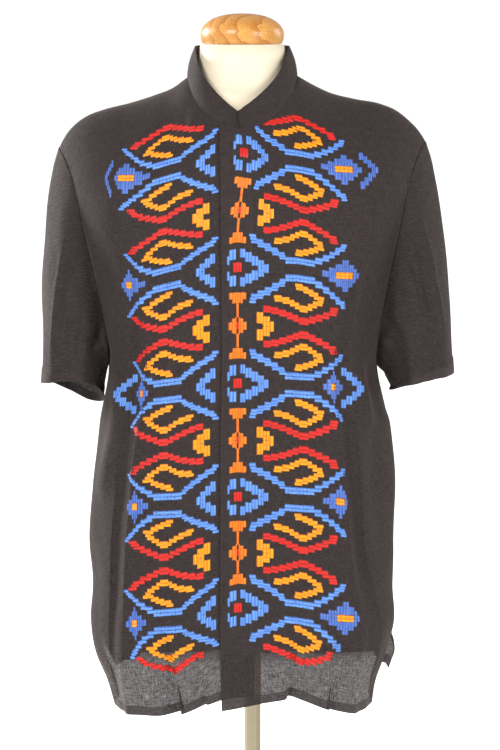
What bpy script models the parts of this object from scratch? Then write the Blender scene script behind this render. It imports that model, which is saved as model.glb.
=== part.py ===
"""Short sleeve blouse worn on a limbless dress form.

The blouse is cut from woven cotton: two fronts that close down the middle with
the wearer's left front on top, a back, two dropped-shoulder sleeves and a low
stand collar. Each of these is one wall of cloth, joined edge to edge at its
seams. The form is a smooth torso with a wooden neck cap on a chrome pole and
a round base.

Frame: metres, +Z up, origin on the floor under the pole, the wearer faces -Y
and +X is the viewer's right.
"""
import math

import bmesh
import bpy
import numpy as np

for old in list(bpy.data.objects):
    bpy.data.objects.remove(old, do_unlink=True)

# driving dimensions
CLOTH = 0.0016            # wall of the cloth
SEAM = 0.0003             # gap between two sewn edges
LAP = CLOTH + SEAM        # rise of the top layer over the under layer
XC = -0.012               # middle of the wearer, a little beside the pole
UNDERARM_Z = 0.908
VENT_Z = 0.598            # top of the side vents
FLARE = 0.024             # how far the back's corner swings out at the open vent
ROUND_OVER = 0.115        # height over which the body rounds over the shoulder
Q_TOP = -0.095            # edge of the top layer, as a share of half the front
Q_UNDER = 0.055           # edge of the under layer
Q_MID = -0.019            # middle of the closing
P_NECK = 0.244            # neck point, as a share of half the width
POLE_R = 0.010
BASE_R = 0.170
FORM_BOTTOM_Z = 0.588
NECK_TOP_Z = 1.2785

# body rings: height, half-width at the viewer's left and right, depth to the
# front and to the back, and how square the ring is
BODY = np.array([
    # z,    left,   right,  front,  back,   square
    (0.500, 0.1450, 0.1480, 0.1270, 0.1130, 4.8),
    (0.535, 0.1550, 0.1540, 0.1290, 0.1160, 4.3),
    (0.570, 0.1700, 0.1670, 0.1315, 0.1190, 3.6),
    (0.605, 0.1755, 0.1765, 0.1335, 0.1215, 3.2),
    (0.650, 0.1750, 0.1745, 0.1350, 0.1240, 3.0),
    (0.700, 0.1780, 0.1755, 0.1365, 0.1260, 2.85),
    (0.770, 0.1745, 0.1780, 0.1375, 0.1285, 2.75),
    (0.840, 0.1670, 0.1720, 0.1375, 0.1300, 2.70),
    (0.908, 0.1565, 0.1590, 0.1370, 0.1310, 2.60),
    (0.960, 0.1640, 0.1650, 0.1365, 0.1320, 2.60),
    (1.020, 0.1780, 0.1780, 0.1345, 0.1325, 2.60),
    (1.080, 0.1960, 0.1950, 0.1290, 0.1300, 2.50),
    (1.130, 0.2080, 0.2070, 0.1180, 0.1240, 2.40),
    (1.175, 0.2190, 0.2190, 0.1010, 0.1140, 2.30),
    (1.240, 0.2250, 0.2250, 0.0800, 0.1000, 2.20),
    (1.300, 0.2250, 0.2250, 0.0700, 0.0900, 2.20)])

# top of the shoulder: distance from the middle, height at the left and right
RIDGE = np.array([
    # x,    left,   right
    (0.000, 1.2620, 1.2640),
    (0.030, 1.2570, 1.2590),
    (0.064, 1.2405, 1.2425),
    (0.080, 1.2290, 1.2335),
    (0.100, 1.2210, 1.2240),
    (0.130, 1.2115, 1.2162),
    (0.160, 1.2040, 1.2105),
    (0.180, 1.1965, 1.2020),
    (0.195, 1.1860, 1.1900),
    (0.205, 1.1745, 1.1795),
    (0.213, 1.1600, 1.1670),
    (0.225, 1.1300, 1.1350)])

# armhole edge: share of the height from underarm to shoulder tip, distance
# from the middle at the left and right
ARMHOLE = np.array([
    # share, left,  right
    (0.00, 0.1565, 0.1590),
    (0.03, 0.1545, 0.1570),
    (0.08, 0.1545, 0.1565),
    (0.20, 0.1590, 0.1600),
    (0.35, 0.1655, 0.1665),
    (0.50, 0.1735, 0.1740),
    (0.65, 0.1820, 0.1820),
    (0.80, 0.1900, 0.1900),
    (0.90, 0.1975, 0.1975),
    (0.96, 0.2055, 0.2055),
    (1.00, 0.2130, 0.2130)])

# neckline: distance from the middle, height in front and at the back
NECKLINE = np.array([
    # x,    front,  back
    (0.000, 1.1840, 1.2320),
    (0.015, 1.1865, 1.2325),
    (0.030, 1.1935, 1.2335),
    (0.045, 1.2060, 1.2355),
    (0.056, 1.2215, 1.2380),
    (0.064, 1.2415, 1.2415)])

# top edge of the body panels, laid out from the middle to the shoulder tip
TOP_X = np.array([
    # share, x
    (0.000, 0.0000),
    (0.125, 0.0327),
    (0.244, 0.0640),
    (0.500, 0.1170),
    (0.750, 0.1660),
    (1.000, 0.2130)])

# hem height: share of the half width (left is minus), the under front, the
# top front and the back
HEM = np.array([
    # share,  under,  top,    back
    (-1.00, 0.5330, 0.5330, 0.5320),
    (-0.80, 0.5190, 0.5200, 0.5260),
    (-0.55, 0.5140, 0.5150, 0.5210),
    (-0.32, 0.5150, 0.5150, 0.5230),
    (-0.20, 0.5230, 0.5180, 0.5250),
    (-0.08, 0.5340, 0.5210, 0.5250),
    (0.10, 0.5360, 0.5290, 0.5230),
    (0.26, 0.5330, 0.5330, 0.5210),
    (0.42, 0.5200, 0.5190, 0.5220),
    (0.60, 0.5130, 0.5140, 0.5250),
    (0.80, 0.5230, 0.5230, 0.5270),
    (1.00, 0.5330, 0.5330, 0.5320)])

# hanging folds, as troughs (minus) and ridges (plus) in the wall: face (-1
# front, 1 back), place across at the low end, height of the low and high
# ends, drift across at the high end, half width, rise
FOLDS = np.array([
    # face, place, z_low,  z_high, drift,  width, rise
    (-1, -0.33, 0.505, 0.640, -0.03, 0.055, -0.0130),
    (-1, -0.19, 0.505, 0.620, -0.02, 0.045, -0.0090),
    (-1, 0.25, 0.505, 0.640, 0.00, 0.060, -0.0120),
    (-1, 0.46, 0.505, 0.660, -0.02, 0.055, -0.0070),
    (-1, -0.54, 0.520, 0.900, 0.06, 0.045, 0.0060),
    (-1, 0.52, 0.520, 0.900, -0.10, 0.045, 0.0060),
    (-1, -0.84, 0.620, 1.000, 0.02, 0.090, 0.0050),
    (-1, 0.86, 0.620, 1.000, -0.02, 0.090, 0.0050),
    (1, -0.48, 0.505, 0.900, 0.05, 0.070, 0.0080),
    (1, -0.20, 0.505, 0.760, 0.03, 0.070, -0.0090),
    (1, 0.12, 0.505, 0.820, 0.00, 0.080, 0.0070),
    (1, 0.38, 0.505, 0.720, -0.03, 0.060, -0.0100),
    (1, 0.62, 0.505, 0.900, -0.04, 0.080, 0.0080)])

# cuffs: side, outer edge x and z, inner edge x and z, half depth
CUFF = {
    -1: dict(outer=(0.2360, 0.8840), inner=(0.1700, 0.8660), depth=0.082),
    1: dict(outer=(0.2470, 0.8980), inner=(0.1800, 0.8740), depth=0.082)}

# top edge of the stand collar, from the middle to the neck point
COLLAR_FRONT = np.array([
    # share, x,      y,       z
    (0.000, 0.0000, -0.0720, 1.2040),
    (0.050, 0.0155, -0.0705, 1.2160),
    (0.098, 0.0300, -0.0650, 1.2295),
    (0.146, 0.0425, -0.0520, 1.2450),
    (0.195, 0.0510, -0.0310, 1.2620),
    (0.244, 0.0545, 0.0000, 1.2770)])
COLLAR_BACK = np.array([
    (0.000, 0.0000, 0.0600, 1.2790),
    (0.050, 0.0150, 0.0585, 1.2790),
    (0.098, 0.0290, 0.0535, 1.2785),
    (0.146, 0.0415, 0.0430, 1.2780),
    (0.195, 0.0510, 0.0250, 1.2775),
    (0.244, 0.0545, 0.0000, 1.2770)])

# torso of the form: height, half-width, depth to the front and to the back
TORSO = np.array([
    # z,    half,   front,  back
    (0.588, 0.1360, 0.0900, 0.0900),
    (0.600, 0.1480, 0.1000, 0.1000),
    (0.650, 0.1560, 0.1060, 0.1050),
    (0.710, 0.1540, 0.1050, 0.1020),
    (0.780, 0.1380, 0.0990, 0.0910),
    (0.840, 0.1290, 0.0980, 0.0850),
    (0.900, 0.1330, 0.1060, 0.0880),
    (0.960, 0.1410, 0.1190, 0.0960),
    (1.020, 0.1480, 0.1250, 0.1030),
    (1.070, 0.1560, 0.1200, 0.1060),
    (1.100, 0.1620, 0.1140, 0.1060)])
NECK = np.array([
    # z,     half,   front,  back
    (1.2100, 0.1000, 0.0600, 0.0700),
    (1.2200, 0.0730, 0.0510, 0.0600),
    (1.2300, 0.0625, 0.0525, 0.0570),
    (1.2400, 0.0570, 0.0515, 0.0530),
    (1.2560, 0.0515, 0.0500, 0.0505),
    (1.2785, 0.0486, 0.0484, 0.0484)])


def along(x, table, column):
    """Smooth curve through one column of a table, read at x."""
    xs, ys = table[:, 0], table[:, column]
    x = np.clip(np.asarray(x, float), xs[0], xs[-1])
    slope = np.gradient(ys, xs)
    i = np.clip(np.searchsorted(xs, x) - 1, 0, len(xs) - 2)
    h = xs[i + 1] - xs[i]
    s = (x - xs[i]) / h
    return (ys[i] * (1 + 2 * s) * (1 - s) ** 2 + slope[i] * h * s * (1 - s) ** 2
            + ys[i + 1] * s * s * (3 - 2 * s) + slope[i + 1] * h * s * s * (s - 1))


def ease(x):
    x = np.clip(x, 0.0, 1.0)
    return x * x * (3 - 2 * x)


def sided(x, table, q, column=1):
    """Column for the viewer's left where q is minus, the next for the right."""
    return np.where(q < 0, along(x, table, column), along(x, table, column + 1))


def ring_depth(r, z, face):
    """Depth of the body ring at height z, at the share r of its half-width."""
    deep = np.where(face < 0, along(z, BODY, 3), along(z, BODY, 4))
    n = along(z, BODY, 5)
    return deep * (1 - np.clip(np.abs(r), 0, 1) ** n) ** (1 / n)


def over_shoulder(h):
    """Share of the full depth at the distance h below the shoulder ridge."""
    s = np.clip(h / ROUND_OVER, 0, 1)
    return np.sqrt(np.clip(1 - (1 - s) ** 2, 0, 1))


def ring_point(p, z, q, face):
    """Point at the share p of the cloth from the middle (0) to the side (1)."""
    half = sided(z, BODY, q)
    # the back's corner at the open vent stands out past the front
    half = half + np.where((q > 0) & (face > 0), FLARE * ease((VENT_Z - z) / 0.050), 0)
    n = along(z, BODY, 5)
    deep = np.where(face < 0, along(z, BODY, 3), along(z, BODY, 4))
    t = np.linspace(0, 1, 90) ** 1.0 * math.pi / 2
    c = np.sin(t)[:, None] ** (2 / n) * half
    d = np.cos(t)[:, None] ** (2 / n) * deep
    step = np.hypot(np.diff(c, axis=0), np.diff(d, axis=0))
    run = np.vstack([np.zeros(len(p)), np.cumsum(step, axis=0)])
    want = p * run[-1]
    k = np.clip((run < want).sum(axis=0) - 1, 0, len(t) - 2)
    j = np.arange(len(p))
    s = (want - run[k, j]) / np.maximum(run[k + 1, j] - run[k, j], 1e-9)
    return c[k, j] + (c[k + 1, j] - c[k, j]) * s, d[k, j] + (d[k + 1, j] - d[k, j]) * s


def body(q, v, face, hem_column=None):
    """Outer face of the blouse body.

    q runs -1..1 across from side to side, v 0..1 from the hem to the underarm
    and 1..2 from the underarm to the neckline and shoulder.
    """
    q, v = np.broadcast_arrays(np.asarray(q, float), np.asarray(v, float))
    shape = q.shape
    q, v = q.ravel(), v.ravel()
    p = np.abs(q)
    side = np.where(q < 0, -1.0, 1.0)
    hem = along(q, HEM, hem_column or (2 if face < 0 else 3))
    low = v <= 1
    # below the underarm: rings, with the vents opening at the sides
    z = np.where(low, hem + (UNDERARM_Z - hem) * np.minimum(v, 1), 0)
    vent = np.clip((VENT_Z - z) / 0.080, 0, 1.2)
    if face < 0:
        open_by = np.where(q < 0, 0.13, 0.20) * vent
    else:
        open_by = np.where(q < 0, 0.10, 0.04) * vent
    x_low, y_low = ring_point(np.clip(p - open_by * p ** 5, 0, 1), np.where(low, z, UNDERARM_Z),
                              q, face)
    # above it: from the armhole edge to the middle
    w = np.clip(v - 1, 0, 1)
    top_x = along(p, TOP_X, 1)
    ridge_top = sided(top_x, RIDGE, q)
    neck_top = along(top_x, NECKLINE, 1 if face < 0 else 2)
    top_z = np.where(p < P_NECK - 1e-6, neck_top, ridge_top)
    top_z = np.where(np.abs(p - P_NECK) < 1e-6, sided(np.full_like(p, 0.064), RIDGE, q), top_z)
    z_up = UNDERARM_Z + (top_z - UNDERARM_Z) * w
    tip = sided(np.full_like(p, 0.213), RIDGE, q)
    edge = sided((z_up - UNDERARM_Z) / (tip - UNDERARM_Z), ARMHOLE, q)
    start, _ = ring_point(p, np.full_like(p, UNDERARM_Z), q, face)
    share0 = start / sided(np.full_like(p, UNDERARM_Z), BODY, q)
    x_up = edge * (share0 + (top_x / 0.213 - share0) * w)
    ridge = sided(x_up, RIDGE, q)
    y_up = (ring_depth(x_up / sided(z_up, BODY, q), z_up, face)
            * over_shoulder(ridge - z_up))
    y_up = np.where((v >= 2 - 1e-9) & (p >= P_NECK - 1e-6), 0, y_up)
    x = np.where(low, x_low, x_up)
    y = np.where(low, y_low, y_up)
    z = np.where(low, z, z_up)
    # hanging folds push the wall in and out
    out = np.stack([x, y], -1)
    out /= np.maximum(np.linalg.norm(out, axis=-1, keepdims=True), 1e-6)
    rise = np.zeros_like(x)
    for f in FOLDS[FOLDS[:, 0] == face]:
        s = np.clip((z - f[2]) / (f[3] - f[2]), 0, 1)
        place = f[1] + f[4] * s
        rise += f[6] * (1 - ease(s)) * np.exp(-((q - place) / f[5]) ** 2)
    rise *= 1 - 0.85 * ease((p - 0.80) / 0.20)
    x = side * (x + rise * out[:, 0]) + XC
    y = face * (y + rise * out[:, 1])
    return np.stack([x, y, z], -1).reshape(shape + (3,))


def grid_normals(g):
    """Outward normals of a grid of points, by its rows and columns."""
    du = np.gradient(g, axis=1)
    dv = np.gradient(g, axis=0)
    n = np.cross(du, dv)
    return n / np.maximum(np.linalg.norm(n, axis=-1, keepdims=True), 1e-12)


def unit(a):
    return a / np.maximum(np.linalg.norm(a, axis=-1, keepdims=True), 1e-12)


def material(name, color, roughness, metallic=0.0):
    m = bpy.data.materials.new(name)
    m.use_nodes = True
    b = m.node_tree.nodes["Principled BSDF"]
    b.inputs["Base Color"].default_value = (*color, 1)
    b.inputs["Roughness"].default_value = roughness
    b.inputs["Metallic"].default_value = metallic
    return m


COTTON = material("navy_cotton", (0.010, 0.011, 0.022), 0.85)
CREAM = material("cream_shell", (0.86, 0.78, 0.62), 0.6)
WOOD = material("varnished_wood", (0.52, 0.26, 0.09), 0.25)
CHROME = material("chrome", (0.80, 0.80, 0.82), 0.12, 1.0)

parts = bpy.data.collections.new("blouse_on_dress_form")
bpy.context.scene.collection.children.link(parts)


def wall(name, outer, inner, mat, closed=False):
    """One cloth wall between two grids of points; closed joins its columns."""
    rows, cols = outer.shape[:2]
    mesh = bpy.data.meshes.new(name)
    bm = bmesh.new()
    a = [[bm.verts.new(outer[i, j]) for j in range(cols)] for i in range(rows)]
    b = [[bm.verts.new(inner[i, j]) for j in range(cols)] for i in range(rows)]
    last = cols if closed else cols - 1
    for i in range(rows - 1):
        for j in range(last):
            k = (j + 1) % cols
            bm.faces.new((a[i][j], a[i][k], a[i + 1][k], a[i + 1][j]))
            bm.faces.new((b[i][j], b[i + 1][j], b[i + 1][k], b[i][k]))
    for j in range(last):
        k = (j + 1) % cols
        bm.faces.new((a[0][k], a[0][j], b[0][j], b[0][k]))
        bm.faces.new((a[-1][j], a[-1][k], b[-1][k], b[-1][j]))
    if not closed:
        for i in range(rows - 1):
            bm.faces.new((a[i][0], a[i + 1][0], b[i + 1][0], b[i][0]))
            bm.faces.new((a[i + 1][-1], a[i][-1], b[i][-1], b[i + 1][-1]))
    bmesh.ops.recalc_face_normals(bm, faces=bm.faces)
    bm.to_mesh(mesh)
    bm.free()
    mesh.materials.append(mat)
    mesh.shade_smooth()
    ob = bpy.data.objects.new(name, mesh)
    parts.objects.link(ob)
    return ob


# rows up the body: even to the underarm, then closer together over the shoulder
VENT_V = (VENT_Z - 0.525) / (UNDERARM_Z - 0.525)
LOW = np.concatenate([[0, 0.5 * VENT_V, VENT_V], np.linspace(VENT_V, 1, 8)[1:]])
UP = 1 + np.array([0.035, 0.10, 0.20, 0.32, 0.45, 0.57, 0.67, 0.76, 0.84, 0.91, 0.965, 1.0])
ROWS = np.concatenate([LOW, UP])
N_LOW = len(LOW)
SIDE_Q = np.array([0.32, 0.40, 0.48, 0.56, 0.64, 0.72, 0.80, 0.87, 0.94, 1.0])
NECK_Q = np.array([0.098, 0.146, 0.195, P_NECK])
Q_RIGHT = np.concatenate([-SIDE_Q[::-1], -NECK_Q[:0:-1], [Q_TOP, -0.055, Q_MID, 0.02, Q_UNDER]])
Q_LEFT = np.concatenate([[Q_TOP, -0.055, Q_MID, 0.02, Q_UNDER], NECK_Q, SIDE_Q])
Q_BACK = np.concatenate([-SIDE_Q[::-1], -NECK_Q[::-1], [-0.049, 0, 0.049], NECK_Q, SIDE_Q])

# the back is laid out the other way round, so that its normals also face out
grid = {
    "front_right": body(Q_RIGHT[None, :], ROWS[:, None], -1, 1),
    "front_left": body(Q_LEFT[None, :], ROWS[:, None], -1, 2),
    "back": body(Q_BACK[::-1][None, :], ROWS[:, None], 1)}
norm = {k: grid_normals(g) for k, g in grid.items()}
base_left = grid["front_left"].copy()
base_norm = norm["front_left"].copy()


def share_normals(a, ia, b, ib):
    """Two sewn edges take one normal, so that their cut faces lie parallel."""
    n = unit(norm[a][ia] + norm[b][ib])
    norm[a][ia] = n
    norm[b][ib] = n


# side seams, then shoulder seams from the neck point to the tip
n_side = len(SIDE_Q)
sew = slice(2, N_LOW - 1)
share_normals("front_right", (sew, 0), "back", (sew, -1))
share_normals("front_left", (sew, -1), "back", (sew, 0))
share_normals("front_right", (-1, slice(0, n_side + 1)), "back", (-1, slice(-1, -n_side - 2, -1)))
share_normals("front_left", (-1, slice(-1, -n_side - 2, -1)), "back", (-1, slice(0, n_side + 1)))


def pull(name, index, toward, keep=None):
    """Move an edge into its own panel by half the seam gap."""
    g = grid[name]
    d = unit(g[toward] - g[index])
    if keep is not None:
        d = unit(d - (d * keep).sum(-1, keepdims=True) * keep)
    g[index] = g[index] + d * SEAM * 0.6


# the armholes: the edges of front and back, tip to underarm and up to the tip
armhole = {}
for side, fname, fcol, bcol in ((-1, "front_right", 0, -1), (1, "front_left", -1, 0)):
    front = [(fname, i, fcol) for i in range(len(ROWS) - 1, N_LOW - 2, -1)]
    back = [("back", i, bcol) for i in range(N_LOW, len(ROWS) - 1)]
    armhole[side] = front + back

sleeves = {}
for side, loop in armhole.items():
    edge = np.array([grid[n][i, c] for n, i, c in loop])
    into = {-1: {0: 1, -1: -2}, 1: {0: 1, -1: -2}}[side]
    inner_pt = np.array([grid[n][i, into[c]] for n, i, c in loop])
    m = len(loop)
    # shares round the loop, by length: 0 at the tip, 1 at the underarm, 2 at the tip
    low_i = len(ROWS) - N_LOW + 0
    seg = np.linalg.norm(np.diff(np.vstack([edge, edge[:1]]), axis=0), axis=1)
    run = np.concatenate([[0], np.cumsum(seg)])
    psi = np.where(np.arange(m) <= low_i, run[:m] / run[low_i],
                   1 + (run[:m] - run[low_i]) / (run[m] - run[low_i])) * math.pi
    cuff = CUFF[side]
    mid = (cuff["outer"][0] + cuff["inner"][0]) / 2
    wide = (cuff["outer"][0] - cuff["inner"][0]) / 2
    cx = np.sign(np.cos(psi)) * np.abs(np.cos(psi)) ** 0.85 * wide + mid
    cy = -np.sign(np.sin(psi)) * np.abs(np.sin(psi)) ** 0.85 * cuff["depth"]
    cz = cuff["inner"][1] + (cuff["outer"][1] - cuff["inner"][1]) * (cx - cuff["inner"][0]) / (2 * wide)
    end = np.stack([side * cx + XC, cy, cz], -1)
    # the cloth leaves the armhole outward and hangs straight at the cuff
    chord = np.linalg.norm(end - edge, axis=1, keepdims=True)
    lean = np.stack([side * (0.30 + 0.25 * np.sin(psi / 2) ** 2), -0.25 * np.sin(psi),
                     -np.ones(m)], -1)
    t0 = unit(lean) * chord
    t1 = unit(np.stack([np.full(m, side * 0.05), -0.02 * np.sin(psi), -np.ones(m)], -1)) * chord
    w = np.array([0, 0.06, 0.15, 0.27, 0.41, 0.56, 0.71, 0.86, 1.0])[:, None, None]
    s = (edge * (1 + 2 * w) * (1 - w) ** 2 + t0 * w * (1 - w) ** 2
         + end * w * w * (3 - 2 * w) + t1 * w * w * (w - 1))
    # two soft folds hang down the front and one down the back of each sleeve
    turn = psi / math.pi
    for place, rise, width in ((0.42, -0.0045, 0.07), (0.62, 0.0040, 0.06), (1.45, -0.0045, 0.09)):
        amount = rise * np.exp(-((turn - place) / width) ** 2)
        way = unit(np.stack([side * np.cos(psi), -1.6 * np.sin(psi), np.zeros(m)], -1))
        s += (way * amount[:, None])[None] * (ease(w / 0.5))
    sleeves[side] = s
    # the mitre between body and sleeve at each point of the seam
    tangent = unit(np.roll(edge, -1, axis=0) - np.roll(edge, 1, axis=0))
    d_body = unit(inner_pt - edge)
    d_body[0] = unit((inner_pt[0] - edge[0]) * np.array([1, 0, 1.0]))
    d_body[low_i] = unit(grid[loop[low_i][0]][N_LOW - 2, loop[low_i][2]] - edge[low_i])
    d_sleeve = unit(s[1] - edge)
    k = d_body - d_sleeve
    k = unit(k - (k * tangent).sum(-1, keepdims=True) * tangent)
    mitre = unit(np.cross(tangent, k))
    up = np.array([0, 0, 1.0])
    if (mitre[low_i] * up).sum() < 0:
        mitre = -mitre
    # the gap opens a little at the underarm, where the two walls hang side by side
    k = k * (SEAM * 0.6 + 0.00055 * np.exp(-((psi - math.pi) / 0.8) ** 2))[:, None]
    sleeves[side, "mitre"] = mitre
    sleeves[side, "k"] = k
    for a, (n, i, c) in enumerate(loop):
        norm[n][i, c] = -mitre[a]
        grid[n][i, c] = grid[n][i, c] + k[a]
        if a == 0:
            norm["back"][-1, -1 if side < 0 else 0] = -mitre[a]
            grid["back"][-1, -1 if side < 0 else 0] += k[a]
        if a == low_i:
            norm["back"][N_LOW - 1, -1 if side < 0 else 0] = -mitre[a]
            grid["back"][N_LOW - 1, -1 if side < 0 else 0] += k[a]

# the gaps along the side seams and the shoulder seams
for name, c, nxt in (("front_right", 0, 1), ("front_left", -1, -2), ("back", 0, 1), ("back", -1, -2)):
    for i in range(2, N_LOW):
        pull(name, (i, c), (i, nxt))
for name, cols in (("front_right", range(0, n_side + 1)),
                   ("front_left", range(len(Q_LEFT) - n_side - 1, len(Q_LEFT))),
                   ("back", list(range(0, n_side + 1)) + list(range(len(Q_BACK) - n_side - 1, len(Q_BACK))))):
    for j in cols:
        away = np.array([0, -1.0 if name != "back" else 1.0, 0])
        grid[name][-1, j] = grid[name][-1, j] + away * SEAM * 0.6

# the top layer stands proud of the under layer where they lap
lift = LAP * (1 - ease((Q_LEFT - Q_UNDER) / 0.06))
lift = np.where(Q_LEFT <= Q_UNDER + 1e-9, LAP * 1.15, lift)
grid["front_left"] = grid["front_left"] + norm["front_left"] * lift[None, :, None]

# the neckline: collar seam all the way round, from the middle of the closing
front_right_neck = [("front_right", j) for j in range(len(Q_RIGHT)) if -P_NECK - 1e-6 <= Q_RIGHT[j] <= Q_MID + 1e-6]
front_left_neck = [("front_left", j) for j in range(len(Q_LEFT)) if Q_MID - 1e-6 <= Q_LEFT[j] <= P_NECK + 1e-6]
neck_q = [Q_RIGHT[j] for _, j in front_right_neck[::-1]]
neck_pts = [body(q, 2.0, -1) for q in neck_q]
neck_face = [-1] * len(neck_q)
back_q = [q for q in Q_BACK if abs(q) < P_NECK - 1e-6]
neck_pts += [body(q, 2.0, 1) for q in back_q]
neck_q += back_q
neck_face += [1] * len(back_q)
left_q = [Q_LEFT[j] for _, j in front_left_neck[::-1]]
neck_pts += [body(q, 2.0, -1) for q in left_q]
neck_face += [-1] * len(left_q)
neck_q += left_q
neck_pts = np.array(neck_pts)


def collar_top(q, face):
    shift = Q_MID * (1 - abs(q) / P_NECK) if face < 0 else 0.0
    qq = q - shift
    t = COLLAR_FRONT if face < 0 else COLLAR_BACK
    x = math.copysign(float(along(abs(qq), t, 1)), qq) + shift * 0.262 + XC
    return np.array([x, float(along(abs(qq), t, 2)), float(along(abs(qq), t, 3))])


top_pts = np.array([collar_top(q, f) for q, f in zip(neck_q, neck_face)])
rise_dir = unit(top_pts - neck_pts)
# the two ends of the band stand apart at the middle of the closing
neck_pts[0, 0] -= 0.0006
top_pts[0, 0] -= 0.0006
neck_pts[-1, 0] += 0.0006
top_pts[-1, 0] += 0.0006
w = np.array([0.0, 0.25, 0.5, 0.75, 1.0])[:, None, None]
out_xy = neck_pts * np.array([1, 1, 0]) - np.array([XC, 0, 0])
bow = unit(out_xy)[None] * (0.0022 * np.sin(np.pi * w))
collar = (neck_pts + rise_dir * SEAM * 0.9)[None] * (1 - w) + top_pts[None] * w + bow
collar_norm = grid_normals(collar)
outward = unit(np.stack([collar[..., 0] - XC, collar[..., 1], np.zeros(collar.shape[:2])], -1))
collar_norm *= np.sign((collar_norm * outward).sum(-1, keepdims=True))
# the collar's lower edge and the panels' neckline share one cut plane
column = {"back": Q_BACK[::-1], "front_right": Q_RIGHT, "front_left": Q_LEFT}
for a, (q, f) in enumerate(zip(neck_q, neck_face)):
    at_seam = [n for n in (("back",) if f > 0 else ("front_right", "front_left"))
               if np.abs(column[n] - q).min() < 1e-6]
    if abs(abs(q) - P_NECK) < 1e-6:
        at_seam = ["front_right" if q < 0 else "front_left", "back"]
    where = [(n, int(np.argmin(np.abs(column[n] - q)))) for n in at_seam]
    shared = unit(collar_norm[0, a] + norm[where[0][0]][-1, where[0][1]])
    collar_norm[0, a] = shared
    for n, j in where:
        norm[n][-1, j] = shared
        grid[n][-1, j] = grid[n][-1, j] - rise_dir[a] * SEAM * 0.6
# the under layer's neckline goes on behind the top layer
for n, lo, hi in (("front_right", Q_MID, 1.0), ("front_left", -1.0, Q_MID)):
    for j, q in enumerate(column[n]):
        if lo + 1e-6 < q < hi - 1e-6 and abs(q) < 0.1:
            a = int(np.argmin([abs(q - b) if f < 0 else 9 for b, f in zip(neck_q, neck_face)]))
            norm[n][-1, j] = unit(collar_norm[0, a])
            if abs(grid[n][-1, j][2] - grid[n][-2, j][2]) > 0.004:
                grid[n][-1, j] = grid[n][-1, j] - rise_dir[a] * SEAM * 0.6

for name in ("front_right", "front_left", "back"):
    wall(name, grid[name], grid[name] - norm[name] * CLOTH, COTTON)
wall("collar", collar, collar - collar_norm * CLOTH, COTTON)

for side, name in ((-1, "sleeve_right"), (1, "sleeve_left")):
    s = sleeves[side].copy()
    ring = np.concatenate([s[:, -1:], s, s[:, :1]], axis=1)
    n = grid_normals(ring)[:, 1:-1]
    way = s - s.mean(axis=1, keepdims=True)
    if (n * way).sum() < 0:
        n = -n
    n[0] = -sleeves[side, "mitre"]
    s[0] = s[0] - sleeves[side, "k"]
    wall(name, s, s - n * CLOTH, COTTON, closed=True)

# the torso: horizontal rings, following the blouse over the chest and shoulders
RING = 40
turn = np.arange(RING) / RING * 2 * math.pi
levels = [0.5880, 0.5940, 0.6100, 0.6500, 0.7000, 0.7450, 0.7900, 0.8400, 0.8900, 0.9350, 0.9800,
          1.0200, 1.0550, 1.0850, 1.1120, 1.1350, 1.1550, 1.1680, 1.1790, 1.1880, 1.1960, 1.2030,
          1.2090, 1.2145, 1.2200, 1.2270, 1.2350, 1.2450, 1.2580, 1.2785]
IN = 0.0042               # the form lies this far under the cloth
DROP = 0.0042             # and this far under the shoulder ridge
ARM_X = 0.171             # flat arm plates
qs = np.where(np.cos(turn) < 0, -1.0, 1.0)
face = np.where(np.sin(turn) > 0, 1.0, -1.0)
rings = []
for z in levels:
    c = np.cos(turn)
    zz = z + DROP
    # slice of the blouse at this height
    top = sided(np.linspace(0, 0.225, 300)[None, :].repeat(2, 0), RIDGE, np.array([[-1.0], [1.0]]))
    reach = []
    for k in (0, 1):
        ok = np.where(top[k] >= zz)[0]
        reach.append(np.linspace(0, 0.225, 300)[ok[-1]] if len(ok) else 0.0)
    zb = min(max(zz, 0.95), 1.29)
    ring_half = sided(np.full(RING, zb), BODY, qs)
    half = np.minimum(np.where(qs < 0, reach[0], reach[1]), ring_half) - IN
    x = np.abs(c) * half
    dep = np.where(face < 0, ring_depth(x / ring_half, np.full(RING, zb), -1.0),
                   ring_depth(x / ring_half, np.full(RING, zb), 1.0))
    dep = dep * over_shoulder(sided(x, RIDGE, qs) - zz)
    hollow = np.where(face < 0, 0.016, 0.004) * float(ease((z - 1.150) / 0.060))
    dep = dep - IN - hollow * np.exp(-(x / 0.060) ** 2)
    dep = np.maximum(dep, 0.001) * np.where(np.abs(np.sin(turn)) < 1e-6, 0, 1)
    # the form's own waist, hips and bust
    zt = min(max(z, 0.588), 1.10)
    own = float(along(zt, TORSO, 1))
    x_own = np.abs(c) * own
    d_own = np.where(face < 0, along(zt, TORSO, 2), along(zt, TORSO, 3)) * (1 - np.abs(c) ** 2.2) ** (1 / 2.2)
    t = float(ease((z - 1.04) / 0.10))
    x_ring = x_own + (np.minimum(x, ARM_X) - x_own) * t
    y_ring = d_own + (dep - d_own) * t
    # and its neck
    zn = min(max(z, 1.210), 1.2785)
    t = float(ease((z - 1.2010) / 0.018))
    x_neck = np.abs(c) * float(along(zn, NECK, 1))
    d_neck = np.where(face < 0, along(zn, NECK, 2), along(zn, NECK, 3)) * np.sqrt(np.clip(1 - c * c, 0, 1))
    x_ring = x_ring + (x_neck - x_ring) * t
    y_ring = y_ring + (d_neck - y_ring) * t
    rings.append(np.stack([np.sign(c) * x_ring + XC, face * y_ring, np.full(RING, z)], -1))

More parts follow.
